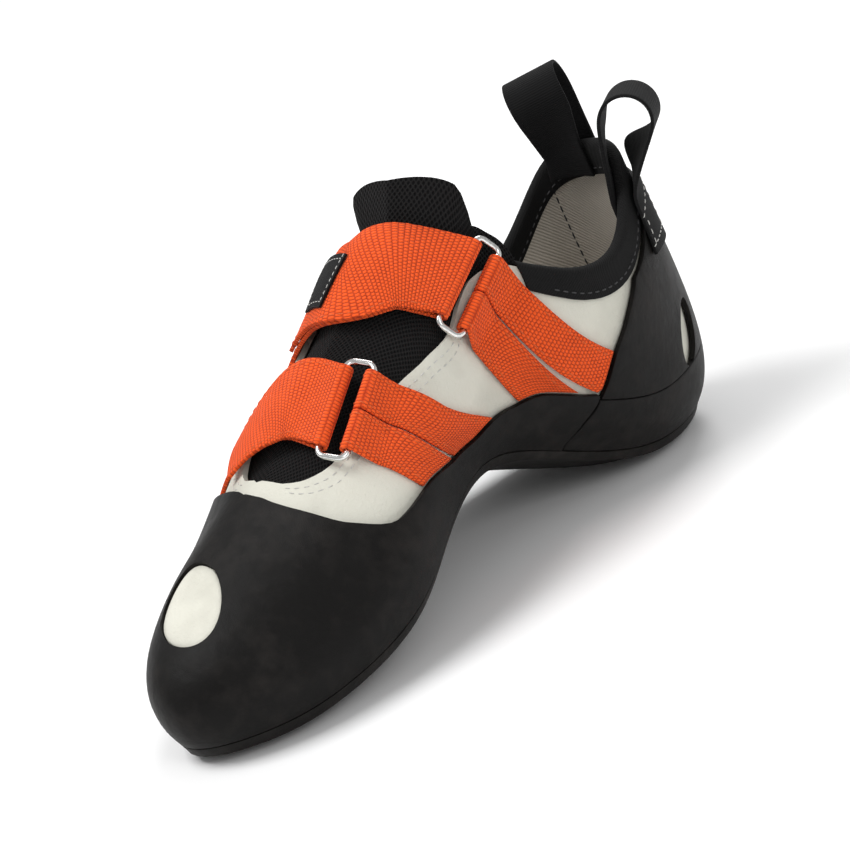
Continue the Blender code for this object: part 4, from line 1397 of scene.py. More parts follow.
@dataclass
class UpperShell:
    """Hollow wall of microfibre with its lining, open at the collar and the throat."""

    steps: int = 84
    rows: int = 30
    seams: tuple = ((1.800, 0.90, 1.860, 0.42), (1.905, 0.92, 1.930, 0.50))
    seam_samples: int = 60
    stitch_from: float = 0.40
    stitch_to: float = 0.835
    stitch_insets: tuple = (0.0026, 0.0052)
    stitch_samples: int = 160

    def build(self, finishes: Finishes) -> None:
        """Build the wall and dress it.

        Args:
            finishes: Finishes of the shoe.
        """
        places = both_sides(fine_places(self.steps))
        share = np.linspace(0.0, 1.0, self.rows + 1)
        top = edge_height(THROAT, places)
        grid = np.repeat(places[:, None], len(share), 1)
        heights = top[:, None] * share[None, :]
        wall = LAST.point(grid, heights)
        dip = LAST.relief(wall, UPPER_CREASES)
        outer = LAST.lifted(grid, heights, UPPER_WALL + dip)
        piece = Maker.between("upper_shell", wall, outer, [finishes.microfibre, finishes.lining], wrap=True)
        Maker.mount(piece, "microfibre", "upper")
        self.stitch(finishes)
        self.lining_seams(finishes)

    def stitch(self, finishes: Finishes) -> None:
        """Stitch rows along the throat's edges.

        Args:
            finishes: Finishes of the shoe.
        """
        lines, ups = [], []
        first, last = self.stitch_from, self.stitch_to
        for start, end in ((first, last), (2 - last, 2 - first)):
            place = np.linspace(start, end, self.stitch_samples)
            top = edge_height(THROAT, place)
            for inset in self.stitch_insets:
                height = top - inset / LAST.length(place)
                wall = LAST.point(place, height)
                dip = LAST.relief(wall, UPPER_CREASES)
                lines.append(LAST.lifted(place, height, UPPER_WALL + dip))
                ups.append(LAST.normal(place, height))
        Maker.stitches("throat_stitches", lines, ups, finishes.pale_thread, "microfibre", radius=0.00020)

    def lining_seams(self, finishes: Finishes) -> None:
        """Dark seams down the lining inside the heel.

        Args:
            finishes: Finishes of the shoe.
        """
        lines, ups = [], []
        for seam in self.seams:
            share = np.linspace(0.0, 1.0, self.seam_samples)
            place = seam[0] + (seam[2] - seam[0]) * share
            height = seam[1] + (seam[3] - seam[1]) * share
            lines.append(LAST.point(place, height))
            ups.append(-LAST.normal(place, height))
        Maker.stitches("lining_seams", lines, ups, finishes.dark_thread, "microfibre",
                       length=0.0032, gap=0.0003, radius=0.00028)


@dataclass
class FrontRubber:
    """Rubber over the toes and along both sides, with the oval window."""

    steps: int = 84
    rows: int = 26
    slanted_columns: int = 4
    slanted_lead: float = 0.01
    softness: float = 0.00045

    def build(self, finishes: Finishes) -> None:
        """Build the shell, cut its window and round its edges.

        Args:
            finishes: Finishes of the shoe.
        """
        share = np.linspace(0.0, 1.0, self.rows + 1)
        start = steady(share, CUP_FRONT, "place") + GAP / LENGTH
        side = fine_places(self.steps)
        side = side[side > start.max() + self.slanted_lead]
        slanted = start + (side[0] - start) * np.linspace(0.0, 1.0, self.slanted_columns + 1)[:-1, None]
        columns = np.concatenate([slanted, np.repeat(side[:, None], len(share), 1)])
        places = np.concatenate([columns, 2.0 - columns[-2::-1]])
        heights = edge_height(RAND, places) * share[None, :]
        dip = LAST.relief(LAST.point(places, heights), RUBBER_CREASES)
        inner = LAST.lifted(places, heights, RUBBER_IN)
        outer = LAST.lifted(places, heights, RUBBER_OUT + dip)
        piece = Maker.between("front_rubber", inner, outer, [finishes.rubber])
        window = RubberWindow(TOE_WINDOW)
        window.cut(piece, "toe_window_plug")
        window.fill(outer, "toe_window_pad", finishes)
        Maker.soften(piece, self.softness)
        Maker.mount(piece, "black_rubber", "rand")


@dataclass
class RubberWindow:
    """Oval window in a rubber shell, on the inner side (1) or the outer one (-1)."""

    window: Window
    side: float = 1.0
    margin: float = 0.975
    sunk: float = 0.0005
    pad: float = 0.0012
    pad_rings: int = 12
    pad_crown: int = 6
    softness: float = 0.00030
    rim_points: int = 64

    def outline(self) -> tuple[np.ndarray, np.ndarray, np.ndarray]:
        """Middle of the window, its rim as offsets from there, and the outward normal.

        Returns:
            Middle, offsets of the rim and outward normal.
        """
        window = self.window
        place = np.array(window.place * self.side)
        height = np.array(window.height)
        normal = LAST.normal(place, height)
        rising = unit(LAST.point(place, height + DIFF) - LAST.point(place, height - DIFF))
        heelward = np.cross(normal, rising)
        heelward = heelward * math.copysign(1.0, heelward[1])
        lean = math.radians(window.lean)
        tip = rising * math.cos(lean) + heelward * math.sin(lean)
        flank = np.cross(normal, tip)
        turn = np.linspace(0.0, 2 * math.pi, self.rim_points + 1)[:-1, None]
        rim = tip * np.sin(turn) * window.long / 2 + flank * np.cos(turn) * window.wide / 2
        return LAST.lifted(place, height, RUBBER_OUT), rim, normal

    def fill(self, outer: np.ndarray, name: str, finishes: Finishes) -> None:
        """Build the pale pad that stands in the window, just under the rubber's face.

        Args:
            outer: Grid of the rubber's outer face, before the window is cut.
            name: Name of the pad.
            finishes: Finishes of the shoe.
        """
        rows, columns = outer.shape[:2]
        quads = [(i * columns + j, (i + 1) * columns + j, (i + 1) * columns + j + 1, i * columns + j + 1)
                 for i in range(rows - 1) for j in range(columns - 1)]
        face = BVHTree.FromPolygons([tuple(point) for point in outer.reshape(-1, 3)], quads)
        middle, rim, normal = self.outline()
        tops = []
        for offset in rim:
            line = []
            for share in np.linspace(0.0, self.margin, self.pad_rings):
                start = middle + offset * share + normal * WINDOW_DEPTH
                hit = face.ray_cast(Vector(start), Vector(-normal), 3 * WINDOW_DEPTH)[0]
                drop = self.sunk + self.sunk * (share / self.margin) ** self.pad_crown
                line.append(np.array(hit) - normal * drop)
            tops.append(line)
        top = np.array(tops)
        pad = Maker.between(name, top - normal * self.pad, top, [finishes.microfibre], wrap=True)
        Maker.soften(pad, self.softness)
        Maker.mount(pad, "microfibre")

    def cut(self, piece: bpy.types.Object, name: str) -> None:
        """Cut the window into a piece and apply the cut.

        Args:
            piece: The piece, changed in place.
            name: Name of the plug while it cuts.
        """
        middle, rim, normal = self.outline()
        sheet = middle + np.stack([0 * rim, rim], 1)
        depth = normal * WINDOW_DEPTH
        plug = Maker.between(name, sheet - depth, sheet + depth, list(piece.data.materials), wrap=True)
        cut = piece.modifiers.new("window", "BOOLEAN")
        cut.operation = "DIFFERENCE"
        cut.solver = "EXACT"
        cut.object = plug
        Maker.apply(piece)
        bpy.data.objects.remove(plug, do_unlink=True)


@dataclass
class HeelRubber:
    """Cup round the heel and the tensioned band above it."""

    columns: int = 30
    rows: int = 20
    softness: float = 0.00040

    def spread(self, share: np.ndarray, reach: np.ndarray) -> np.ndarray:
        """Columns round the heel, from one slanted front edge to the other.

        Args:
            share: Shares of the height, one for each row.
            reach: Ring place of the front edge in each row.

        Returns:
            Ring places, columns by rows.
        """
        turn = np.linspace(0.0, 1.0, self.columns + 1)[:, None]
        half = reach[None, :] * turn * np.ones_like(share)[None, :]
        return np.concatenate([-half[:0:-1], half])

    def build(self, finishes: Finishes) -> None:
        """Build both shells.

        Args:
            finishes: Finishes of the shoe.
        """
        share = np.linspace(0.0, 1.0, self.rows + 1)
        places = self.spread(share, steady(share, CUP_FRONT, "place"))
        heights = (edge_height(CUP, places) - GAP / 2 / LAST.length(places)) * share[None, :]
        cup = Maker.between("heel_cup_shell", LAST.lifted(places, heights, RUBBER_IN),
                            LAST.lifted(places, heights, RUBBER_OUT), [finishes.rubber])
        Maker.soften(cup, self.softness)
        Maker.mount(cup, "black_rubber", "heel_cup")
        rough = self.spread(share, np.full(share.shape, BAND_FRONT[0].place))
        base = edge_height(CUP, rough) + GAP / 2 / LAST.length(rough)
        ceiling = 1.0 - (BINDING_WIDTH + GAP) / LAST.length(rough)
        heights = base + (ceiling - base) * share[None, :]
        places = self.spread(share, steady(heights[-1], BAND_FRONT, "place"))
        band = Maker.between("heel_band_shell", LAST.lifted(places, heights, RUBBER_IN),
                             LAST.lifted(places, heights, RUBBER_OUT), [finishes.rubber])
        RubberWindow(HEEL_WINDOW).cut(band, "inner_heel_plug")
        RubberWindow(HEEL_WINDOW, -1.0).cut(band, "outer_heel_plug")
        Maker.soften(band, self.softness)
        Maker.mount(band, "black_rubber", "heel_band")


@dataclass
class Bottom:
    """Outsole and footbed."""

    steps: int = 90
    columns: int = 16
    even: float = 0.55
    crowded: float = 0.45
    welt_step: float = 0.02
    softness: float = 0.00050

    def row(self, place: float, lift: float, inset: float) -> np.ndarray:
        """One cross row of the sole's top, from the inner to the outer edge.

        Args:
            place: Ring place of the row.
            lift: Metres above the feather line.
            inset: Metres in from the outline.

        Returns:
            Points of the row.
        """
        shares = np.linspace(0.0, 1.0, self.columns + 1)
        inner = LAST.feather(np.array(place)) - LAST.outward(np.array(place)) * inset
        outer = LAST.feather(np.array(2.0 - place)) - LAST.outward(np.array(2.0 - place)) * inset
        row = inner[None, :] + (outer - inner)[None, :] * shares[:, None]
        row[:, 2] += lift - float(LAST.curves["sag"](place)) * 4 * shares * (1 - shares)
        return row

    def welt(self, place: float) -> np.ndarray:
        """Outer edge of the sole under the rubber's outer face.

        Args:
            place: Ring place.

        Returns:
            One point.
        """
        foot = LAST.lifted(place, 0.0, RUBBER_OUT)
        rising = LAST.point(place, self.welt_step) - LAST.point(place, 0.0)
        return foot - unit(rising) * SOLE_GAP

    def build(self, finishes: Finishes) -> None:
        """Build the sole and the footbed.

        Args:
            finishes: Finishes of the shoe.
        """
        turn = np.linspace(0.0, math.pi, self.steps + 1)
        places = self.even * np.linspace(0.0, 1.0, self.steps + 1) + self.crowded * (1 - np.cos(turn)) / 2
        top = np.array([
            np.concatenate([[self.welt(p)], self.row(p, -SOLE_GAP, 0.0), [self.welt(2.0 - p)]])
            for p in places
        ])
        bottom = top.copy()
        bottom[:, 0] += (bottom[:, 1] - bottom[:, 0]) * SOLE_DRAW
        bottom[:, -1] += (bottom[:, -2] - bottom[:, -1]) * SOLE_DRAW
        bottom[..., 2] = np.maximum(bottom[..., 2] - SOLE, 0.0)
        sole = Maker.between("sole_sheet", bottom, top, [finishes.sole])
        Maker.soften(sole, self.softness)
        Maker.mount(sole, "sole_rubber", "outsole")
        low = np.array([self.row(p, GAP, 2 * GAP) for p in places])
        high = np.array([self.row(p, GAP + INSOLE, 2 * GAP) for p in places])
        bed = Maker.between("footbed", low, high, [finishes.footbed])
        Maker.mount(bed, "footbed_board", "insole")


@dataclass
class TonguePanel:
    """Stretch mesh under the throat, with a broad lobe past the collar's front."""

    columns: int = 49
    rows: int = 60
    lobe_rows: int = 12
    front_inset: float = 0.005
    flank_from: float = 0.50
    flank_span: float = 0.25
    lobe_share: float = 0.57
    crown_share: float = 0.70
    crown_power: int = 5
    softness: float = 0.00050
    wing_samples: int = 40
    wing_up: tuple = (-0.10, 0.45, 1.0)
    wing_places: tuple = (0.374, 0.380, 0.400, 0.420, 0.440, 0.455, 0.468)
    wing_rises: tuple = (0.0004, 0.0025, 0.0085, 0.0120, 0.0150, 0.0165, 0.0160)
    wing_foot: float = 0.050
    foot_rows: int = 3
    wing_rows: int = 8

    def build(self, finishes: Finishes) -> None:
        """Build the panel with its lobe, and the lower lobe beside it.

        Args:
            finishes: Finishes of the shoe.
        """
        side = np.linspace(-1.0, 1.0, self.columns)
        reach = np.abs(side)
        lean = unit(np.array([0.0, LOBE_LEAN, 1.0]))

        def row(place: float, lift: float) -> np.ndarray:
            """Cross row of the panel under both edges of the throat."""
            slant = LOBE_SLANT * np.maximum(side, 0.0) * (TONGUE_FRONT - place) / (TONGUE_FRONT - CLOSED_FROM)
            ring = np.where(side < 0, 2.0 - place, place - slant)
            edge = np.minimum(edge_height(THROAT, ring), 1.0 - TONGUE_UNDER)
            return LAST.lifted(ring, 1.0 - reach * (1.0 - edge + TONGUE_UNDER), lift)

        grids = []
        for lift in (-TONGUE_GAP - TONGUE, -TONGUE_GAP):
            places = np.linspace(TONGUE_FRONT - self.front_inset, CLOSED_FROM, self.rows)
            rows = [row(place, lift) for place in places]
            base = rows[-1]
            crest = base[len(side) // 2]
            flank = ease((reach - self.flank_from) / self.flank_span)[:, None]
            drop = -LOBE_DROOP * reach ** 2 * LOBE_WIDTH
            back = np.maximum(side, 0.0) * LOBE_BACK
            flat = crest[None, :] + np.stack([side / self.lobe_share * LOBE_WIDTH / 2, back, drop], -1)
            swell = np.clip(1 - (reach / self.crown_share) ** self.crown_power, 0.0, 1.0)
            crown = LOBE_HEIGHT * swell ** 0.5
            for step in np.linspace(0.0, 1.0, self.lobe_rows + 1)[1:]:
                lobe = base * (1 - step) + flat * step + lean[None, :] * (crown * step)[:, None]
                follow = row(CLOSED_FROM - LOBE_REACH * step, lift)
                rows.append(lobe * (1 - flank) + follow * flank)
            grids.append(np.array(rows))
        piece = Maker.between("tongue_panel", grids[0], grids[1], [finishes.knit])
        Maker.soften(piece, self.softness)
        Maker.mount(piece, "stretch_mesh", "tongue")
        self.inner_wing(finishes)

    def inner_wing(self, finishes: Finishes) -> None:
        """Build the lower lobe that stands up along the throat's inner edge.

        Args:
            finishes: Finishes of the shoe.
        """
        places = np.linspace(self.wing_places[0], self.wing_places[-1], self.wing_samples)
        rises = smooth(places, np.array(self.wing_places), self.wing_rises)
        edge = edge_height(THROAT, places)
        up = unit(np.array(self.wing_up))
        sheets = []
        for lift in (-TONGUE_GAP - TONGUE, -TONGUE_GAP):
            foot = np.linspace(0.0, 1.0, self.foot_rows + 1)
            rows = [LAST.lifted(places, edge - self.wing_foot * (1 - part), lift) for part in foot]
            brim = rows[-1]
            climb = np.linspace(0.0, 1.0, self.wing_rows + 1)[1:]
            rows += [brim + up[None, :] * (rises * part)[:, None] for part in climb]
            sheets.append(np.array(rows).transpose(1, 0, 2))
        wing = Maker.between("tongue_inner_wing", sheets[0], sheets[1], [finishes.knit])
        Maker.soften(wing, self.softness)
        Maker.mount(wing, "stretch_mesh")


@dataclass
class CollarEdge:
    """Folded binding round the collar, with its stitch row."""

    steps: int = 84
    flank: tuple = (1.0, 0.66, 0.33)
    fold_steps: int = 8
    rising_step: float = 0.02
    stitch_reach: float = 0.36
    stitch_inset: float = 0.0060
    stitch_samples: int = 400

    def build(self, finishes: Finishes) -> None:
        """Build the binding and its stitches.

        Args:
            finishes: Finishes of the shoe.
        """
        side = fine_places(self.steps)
        side = side[side < BINDING_END]
        places = np.concatenate([-side[:0:-1], side])
        outside = UPPER_WALL + GAP + BINDING / 2
        inside = -2 * GAP - BINDING / 2
        radius = (outside - inside) / 2
        top = edge_height(THROAT, places)
        size = LAST.length(places)
        rim = LAST.lifted(places, top, (outside + inside) / 2)
        rising = unit(LAST.point(places, top) - LAST.point(places, top - self.rising_step))
        normal = LAST.normal(places, top)
        rows = [LAST.lifted(places, top - BINDING_WIDTH * part / size, outside) for part in self.flank]
        rows.append(rim + normal * radius)
        for angle in np.linspace(0.0, math.pi, self.fold_steps + 1)[1:-1]:
            rows.append(rim + normal * radius * math.cos(angle) + rising * radius * math.sin(angle))
        rows.append(rim - normal * radius)
        rows += [LAST.lifted(places, top - BINDING_WIDTH * part / size, inside) for part in self.flank[::-1]]
        piece = Maker.ribbon("collar_edge", np.array(rows).transpose(1, 0, 2), BINDING, [finishes.binding])
        Maker.mount(piece, "black_binding", "collar_binding")
        dense = np.linspace(-self.stitch_reach, self.stitch_reach, self.stitch_samples)
        dense_size = LAST.length(dense)
        lines, ups = [], []
        for lift, way in ((outside + BINDING / 2, 1.0), (inside - BINDING / 2, -1.0)):
            height = edge_height(THROAT, dense) - self.stitch_inset / dense_size
            lines.append(LAST.lifted(dense, height, lift))
            ups.append(LAST.normal(dense, height) * way)
        Maker.stitches("collar_stitches", lines, ups, finishes.dark_thread, "black_binding")


@dataclass
class ClosureSet:
    """One wire ring with its closing strap and the two bands behind it."""

    tier: Tier
    closure: Closure
    strap_columns: int = 17
    band_columns: int = 9
    over_samples: int = 60
    back_samples: int = 40
    band_samples: int = 44
    fold_samples: int = 20
    smoothing: int = 3
    softness: float = 0.00035
    corner_steps: int = 8
    wire_sides: int = 20

    def middle(self) -> tuple[np.ndarray, np.ndarray]:
        """Where the middle of the ring lies.

        Returns:
            Its ring place and height.
        """
        ring = self.closure.ring
        place = (ring.high_place + ring.low_place) / 2
        return np.array(place), np.array((ring.high_height + ring.low_height) / 2)

    def axes(self) -> tuple[np.ndarray, np.ndarray, np.ndarray, np.ndarray]:
        """Centre, long axis, axis toward the ridge and outward axis of the ring.

        Returns:
            A point and three unit vectors.
        """
        ring = self.closure.ring
        high = LAST.point(ring.high_place, ring.high_height)
        low = LAST.point(ring.low_place, ring.low_height)
        place, height = self.middle()
        long_axis = unit(low - high)
        normal = LAST.normal(place, height)
        normal = unit(normal - long_axis * (normal @ long_axis))
        toward = np.cross(normal, long_axis)
        toward = -toward if toward[2] < 0 else toward
        return LAST.point(place, height) + normal * RING_HEIGHT, long_axis, toward, normal

    def fold(self, side: float, widths: np.ndarray) -> np.ndarray:
        """Rows of webbing that pass under one bar of the ring and back over it.

        Args:
            side: 1 for the bar toward the ridge, -1 for the other.
            widths: Distances from the middle line, in metres.

        Returns:
            Rows of points.
        """
        centre, long_axis, toward, normal = self.axes()
        bar = centre + toward * side * (RING_OPENING + RING_WIRE) / 2
        rows = []
        for angle in np.linspace(0.0, math.pi + TAIL_SLOPE, self.fold_samples):
            reach = -normal * math.cos(angle) - toward * side * math.sin(angle)
            rows.append(bar + long_axis * widths[:, None] + reach * FOLD)
        return np.array(rows)

    def tracks(self, stations: Sequence[Station], widths: np.ndarray, samples: int,
               drift: float = 0.0) -> tuple[np.ndarray, np.ndarray, np.ndarray]:
        """Lines side by side along a few stations.

        Args:
            stations: Points that the middle line passes.
            widths: Distances of the lines from the middle.
            samples: Points along each line.
            drift: How far the lines have moved sideways at the end.

        Returns:
            Ring places, heights and lifts, samples by lines.
        """
        nodes = LAST.point(np.array([s.place for s in stations]), np.array([s.height for s in stations]))
        knots = np.concatenate([[0.0], np.cumsum(np.linalg.norm(np.diff(nodes, axis=0), axis=-1))])
        turn = np.linspace(0.0, knots[-1], samples)
        place = smooth(turn, knots, [s.place for s in stations])
        height = smooth(turn, knots, [s.height for s in stations])
        lift = smooth(turn, knots, [s.lift for s in stations])
        ahead = np.gradient(LAST.point(place, height), axis=0)
        across = unit(np.cross(LAST.normal(place, height), ahead))
        shift = drift * np.linspace(0.0, 1.0, samples) ** 2
        shape = (samples, len(widths))
        walk = widths[None, :] + shift[:, None]
        places, heights = LAST.march(
            np.broadcast_to(place[:, None], shape), np.broadcast_to(height[:, None], shape),
            np.broadcast_to(across[:, None, :], shape + (3,)), walk)
        return places, heights, np.broadcast_to(lift[:, None], shape)

    def trimmed(self, stations: Sequence[Station], widths: np.ndarray, samples: int,
                drift: float = 0.0) -> np.ndarray:
        """Rows of webbing whose lines each stop a gap short of the rubber's edge.

        Args:
            stations: Points that the middle line passes.
            widths: Distances from the middle line, in metres.
            samples: Points along each line.
            drift: Sideways move at the end.

        Returns:
            Rows of points.
        """
        places, heights, _ = self.tracks(stations, widths, 4 * samples, drift)
        rows = []
        for column in range(len(widths)):
            line_place, line_height = places[:, column], heights[:, column]
            over = line_height > 1.0
            place = np.where(over, 2.0 - line_place, line_place)
            height = np.where(over, 2.0 - line_height, line_height)
            above = height - edge_height(RAND, place) - 2 * GAP / LAST.length(place)
            before = line_place - steady(height, BAND_FRONT, "place") - 2 * GAP / LENGTH
            clear = np.minimum(above, before)
            stop = int(np.argmax(clear < 0)) if (clear < 0).any() else len(clear) - 1
            share = clear[stop - 1] / max(clear[stop - 1] - clear[stop], 1e-9)
            end = (stop - 1 + min(share, 1.0)) / (len(clear) - 1)
            turn = np.linspace(0.0, 1.0, len(clear))
            at = np.linspace(0.0, end, samples)
            kept_place, kept_height = np.interp(at, turn, line_place), np.interp(at, turn, line_height)
            rows.append(LAST.lifted(kept_place, kept_height, WEB_HEIGHT))
        return np.array(rows).transpose(1, 0, 2)

    def strap_rows(self, widths: np.ndarray) -> np.ndarray:
        """Middle sheet of the closing strap.

        Args:
            widths: Distances from the middle line, in metres.

        Returns:
            Rows of points.
        """
        layer = WEBBING + GAP
        first = self.trimmed(self.closure.over[::-1], widths, self.over_samples)[::-1, ::-1]
        fold = self.fold(1.0, widths)
        places, heights, lift = self.tracks(self.closure.back, widths, self.back_samples)
        back = LAST.lifted(places, heights, WEB_HEIGHT + layer * lift)[:, ::-1]
        near, far = np.linalg.norm(fold[0][[0, -1]] - first[-1][0], axis=-1)
        if near > far:
            fold = fold[:, ::-1]
        return np.concatenate([first, fold, back])

    def band_rows(self, side: float) -> np.ndarray:
        """Middle sheet of one of the two bands.

        Args:
            side: Which side of the middle the band lies on, -1 or 1.

        Returns:
            Rows of points.
        """
        toward = self.axes()[2]
        centre = side * (BAND_WIDTH + 2 * GAP) / 2
        widths = centre + np.linspace(-BAND_WIDTH / 2, BAND_WIDTH / 2, self.band_columns)
        fold = self.fold(-1.0, widths)
        place, height = LAST.march(*self.middle(), -toward, BAND_START)
        stations = [Station(float(place), float(height), 0)] + self.closure.bands
        tails = [self.trimmed(stations, sign * widths, self.band_samples, sign * side * BAND_FORK)
                 for sign in (1.0, -1.0)]
        tail = min(tails, key=lambda rows: float(np.linalg.norm(rows[0] - fold[-1])))
        return np.concatenate([fold, tail])

    def build(self, finishes: Finishes) -> None:
        """Build ring, strap, bands and their stitches.

        Args:
            finishes: Finishes of the shoe.
        """
        name = self.tier.value
        self.ring(finishes)
        widths = np.linspace(-STRAP_WIDTH / 2, STRAP_WIDTH / 2, self.strap_columns)
        rows = Maker.settle(self.strap_rows(widths), self.smoothing)
        strap = Maker.ribbon(name + "_strap_webbing", rows, WEBBING, [finishes.webbing])
        Maker.soften(strap, self.softness)
        Maker.mount(strap, "orange_webbing", name + "_strap")
        lines, ups = self.edge_lines(rows, (1, self.strap_columns - 2))
        for number, side in ((1, -1.0), (2, 1.0)):
            band_rows = Maker.settle(self.band_rows(side), self.smoothing)
            band = Maker.ribbon("%s_band_webbing_%d" % (name, number), band_rows, WEBBING, [finishes.webbing])
            Maker.soften(band, self.softness)
            Maker.mount(band, "orange_webbing", "%s_band_%d" % (name, number))
            more, more_ups = self.edge_lines(band_rows, (1, self.band_columns - 2))
            lines += more
            ups += more_ups
        Maker.stitches(name + "_strap_stitches", lines, ups, finishes.orange_thread, "orange_webbing",
                       length=0.0026, gap=0.0007, radius=0.00022)

    @staticmethod
    def edge_lines(rows: np.ndarray, columns: Sequence[int]) -> tuple[list, list]:
        """Stitch lines near both edges, on the side that faces out.

        Args:
            rows: Sheet of the webbing.
            columns: Columns that are sewn.

        Returns:
            Lines of points and their outward normals.
        """
        normal = Maker.sheet_normal(rows)
        middle = rows.mean(axis=(0, 1))
        lines, ups = [], []
        for column in columns:
            line = rows[:, column]
            up = normal[:, column]
            for way in (1.0, -1.0):
                face = line + up * way * WEBBING / 2
                outside = ((face - middle) * up * way).sum(-1).mean() > 0
                if outside:
                    lines.append(face)
                    ups.append(up * way)
        return lines, ups

    def ring(self, finishes: Finishes) -> None:
        """Bend the wire ring as a tube with round ends.

        Args:
            finishes: Finishes of the shoe.
        """
        centre, long_axis, toward, normal = self.axes()
        half_wide = (RING_OPENING + RING_WIRE) / 2
        half_long = STRAP_WIDTH / 2 + RING_CORNER
        bent = []
        for x_sign, y_sign, quarter in ((1, 1, 1), (1, -1, 0), (-1, -1, -1), (-1, 1, 2)):
            for part in range(self.corner_steps + 1):
                angle = quarter * math.pi / 2 - part * math.pi / (2 * self.corner_steps)
                x = x_sign * (half_long - RING_CORNER) + RING_CORNER * math.cos(angle)
                y = y_sign * (half_wide - RING_CORNER) + RING_CORNER * math.sin(angle)
                bent.append(centre + long_axis * x + toward * y)
        path = np.array(bent)
        ahead = unit(np.roll(path, -1, 0) - np.roll(path, 1, 0))
        aside = unit(np.cross(ahead, normal[None, :]))
        around = np.linspace(0.0, 2 * math.pi, self.wire_sides + 1)
        tube = (path[:, None, :] + aside[:, None, :] * np.cos(around)[None, :, None] * RING_WIRE / 2
                + normal[None, None, :] * np.sin(around)[None, :, None] * RING_WIRE / 2)
        points = tube[:, :-1].reshape(-1, 3) + SHIFT
        count = self.wire_sides
        faces, marks = [], []
        for i in range(len(path)):
            low, high = i * count, (i + 1) % len(path) * count
            for j in range(count):
                after = (j + 1) % count
                corners = (low + j, high + j, high + after, low + after)
                faces.append(tuple((corner, 0.0, 0.0) for corner in corners))
                marks.append((0,))
        name = self.tier.value + "_ring"
        piece = Maker.solid(name + "_wire", points, faces, marks, [finishes.steel], sharp=60.0)
        Maker.mount(piece, "steel_wire", name)


@dataclass
class PullLoops:
    """Two loops of tape that straddle the collar's edge at the heel."""

    columns: int = 11
    leg_rows: int = 12
    crown_rows: int = 30
    crown_turn: float = 0.15
    even_rows: int = 90
    smoothing: int = 14
    held_end: float = 0.008
    held_fade: float = 0.012
    softness: float = 0.00030
    patch_rows: tuple = (3, 14)
    patch_columns: tuple = (1, 9)

    def rows(self, loop: Loop) -> np.ndarray:
        """Middle sheet of one loop.

        Args:
            loop: The loop.

        Returns:
            Rows of points.
        """
        place = np.array(loop.place)
        outside = RUBBER_OUT + GAP + TAPE / 2
        inside = -3 * GAP - BINDING - TAPE / 2
        rim = LAST.point(place, 1.0)
        out = LAST.outward(place)
        side = np.array([-out[1], out[0], 0.0])
        heading = math.radians(loop.heading)
        facing = np.array([math.cos(heading), math.sin(heading), 0.0])
        level = np.array([-facing[1], facing[0], 0.0])
        up = unit(np.array([0.0, 0.0, 1.0]) + facing * loop.lean_out + level * loop.lean_side)
        level = unit(level - up * (up @ level))
        facing = np.cross(level, up)
        side = side * math.copysign(1.0, side @ level)
        widths = np.linspace(-LOOP_WIDTH / 2, LOOP_WIDTH / 2, self.columns)
        length = float(LAST.length(place))
        ends = np.full(len(widths), 1.0)

        def leg(drop: float, lift: float) -> list:
            """Rows of one leg, from its sewn end up past the collar's edge."""
            foot, rise = LAST.march(ends * place, ends * (1.0 - drop / length),
                                    np.broadcast_to(side, (len(widths), 3)), widths)
            top = 1.0 + LOOP_RISE / length
            climbs = np.linspace(0.0, 1.0, self.leg_rows)
            return [LAST.lifted(foot, rise + (top - rise) * climb, lift) for climb in climbs]

        rows = leg(LOOP_LEG, outside)
        spread = loop.spread * LOOP_SPREAD
        crown = loop.height * LOOP_HEIGHT - spread
        start, end = -self.crown_turn * math.pi, (1 + self.crown_turn) * math.pi
        for angle in np.linspace(start, end, self.crown_rows):
            centre = rim + out * (outside + inside) / 2 + facing * math.cos(angle) * spread
            centre = centre + up * (crown + math.sin(angle) * spread)
            rows.append(centre[None, :] + level[None, :] * widths[:, None])
        rows += leg(LOOP_LEG * loop.inside, inside)[::-1]
        return self.even(np.array(rows))

    def even(self, rows: np.ndarray) -> np.ndarray:
        """Space the rows evenly along the tape and round their bends, keeping the legs.

        Args:
            rows: Rows of points.

        Returns:
            Rows at even distances.
        """
        run = np.concatenate([[0.0], np.cumsum(np.linalg.norm(np.diff(rows, axis=0), axis=-1).mean(1))])
        at = np.linspace(0.0, run[-1], self.even_rows)
        out = np.empty((len(at),) + rows.shape[1:])
        for column in range(rows.shape[1]):
            for axis in range(3):
                out[:, column, axis] = np.interp(at, run, rows[:, column, axis])
        kept = out.copy()
        Maker.settle(out, self.smoothing)
        hold = ease((np.minimum(at, run[-1] - at) - self.held_end) / self.held_fade)[:, None, None]
        return kept * (1 - hold) + out * hold

    def build(self, finishes: Finishes) -> None:
        """Build both loops and the stitches that hold them.

        Args:
            finishes: Finishes of the shoe.
        """
        lines, ups = [], []
        first, last = self.patch_rows
        for loop in LOOPS:
            rows = self.rows(loop)
            tape = Maker.ribbon(loop.name + "_tape", rows, TAPE, [finishes.tape])
            Maker.soften(tape, self.softness)
            Maker.mount(tape, "black_binding", loop.name)
            normal = Maker.sheet_normal(rows)
            out = LAST.outward(np.array(loop.place))
            way = math.copysign(1.0, float(normal[first + 1, self.columns // 2] @ out))
            face = rows + normal * way * TAPE / 2
            for row in self.patch_rows:
                lines.append(face[row])
                ups.append(normal[row] * way)
            for column in self.patch_columns:
                lines.append(face[first:last + 1, column])
                ups.append(normal[first:last + 1, column] * way)
        Maker.stitches("loop_stitches", lines, ups, finishes.pale_thread, "black_binding", radius=0.00020)


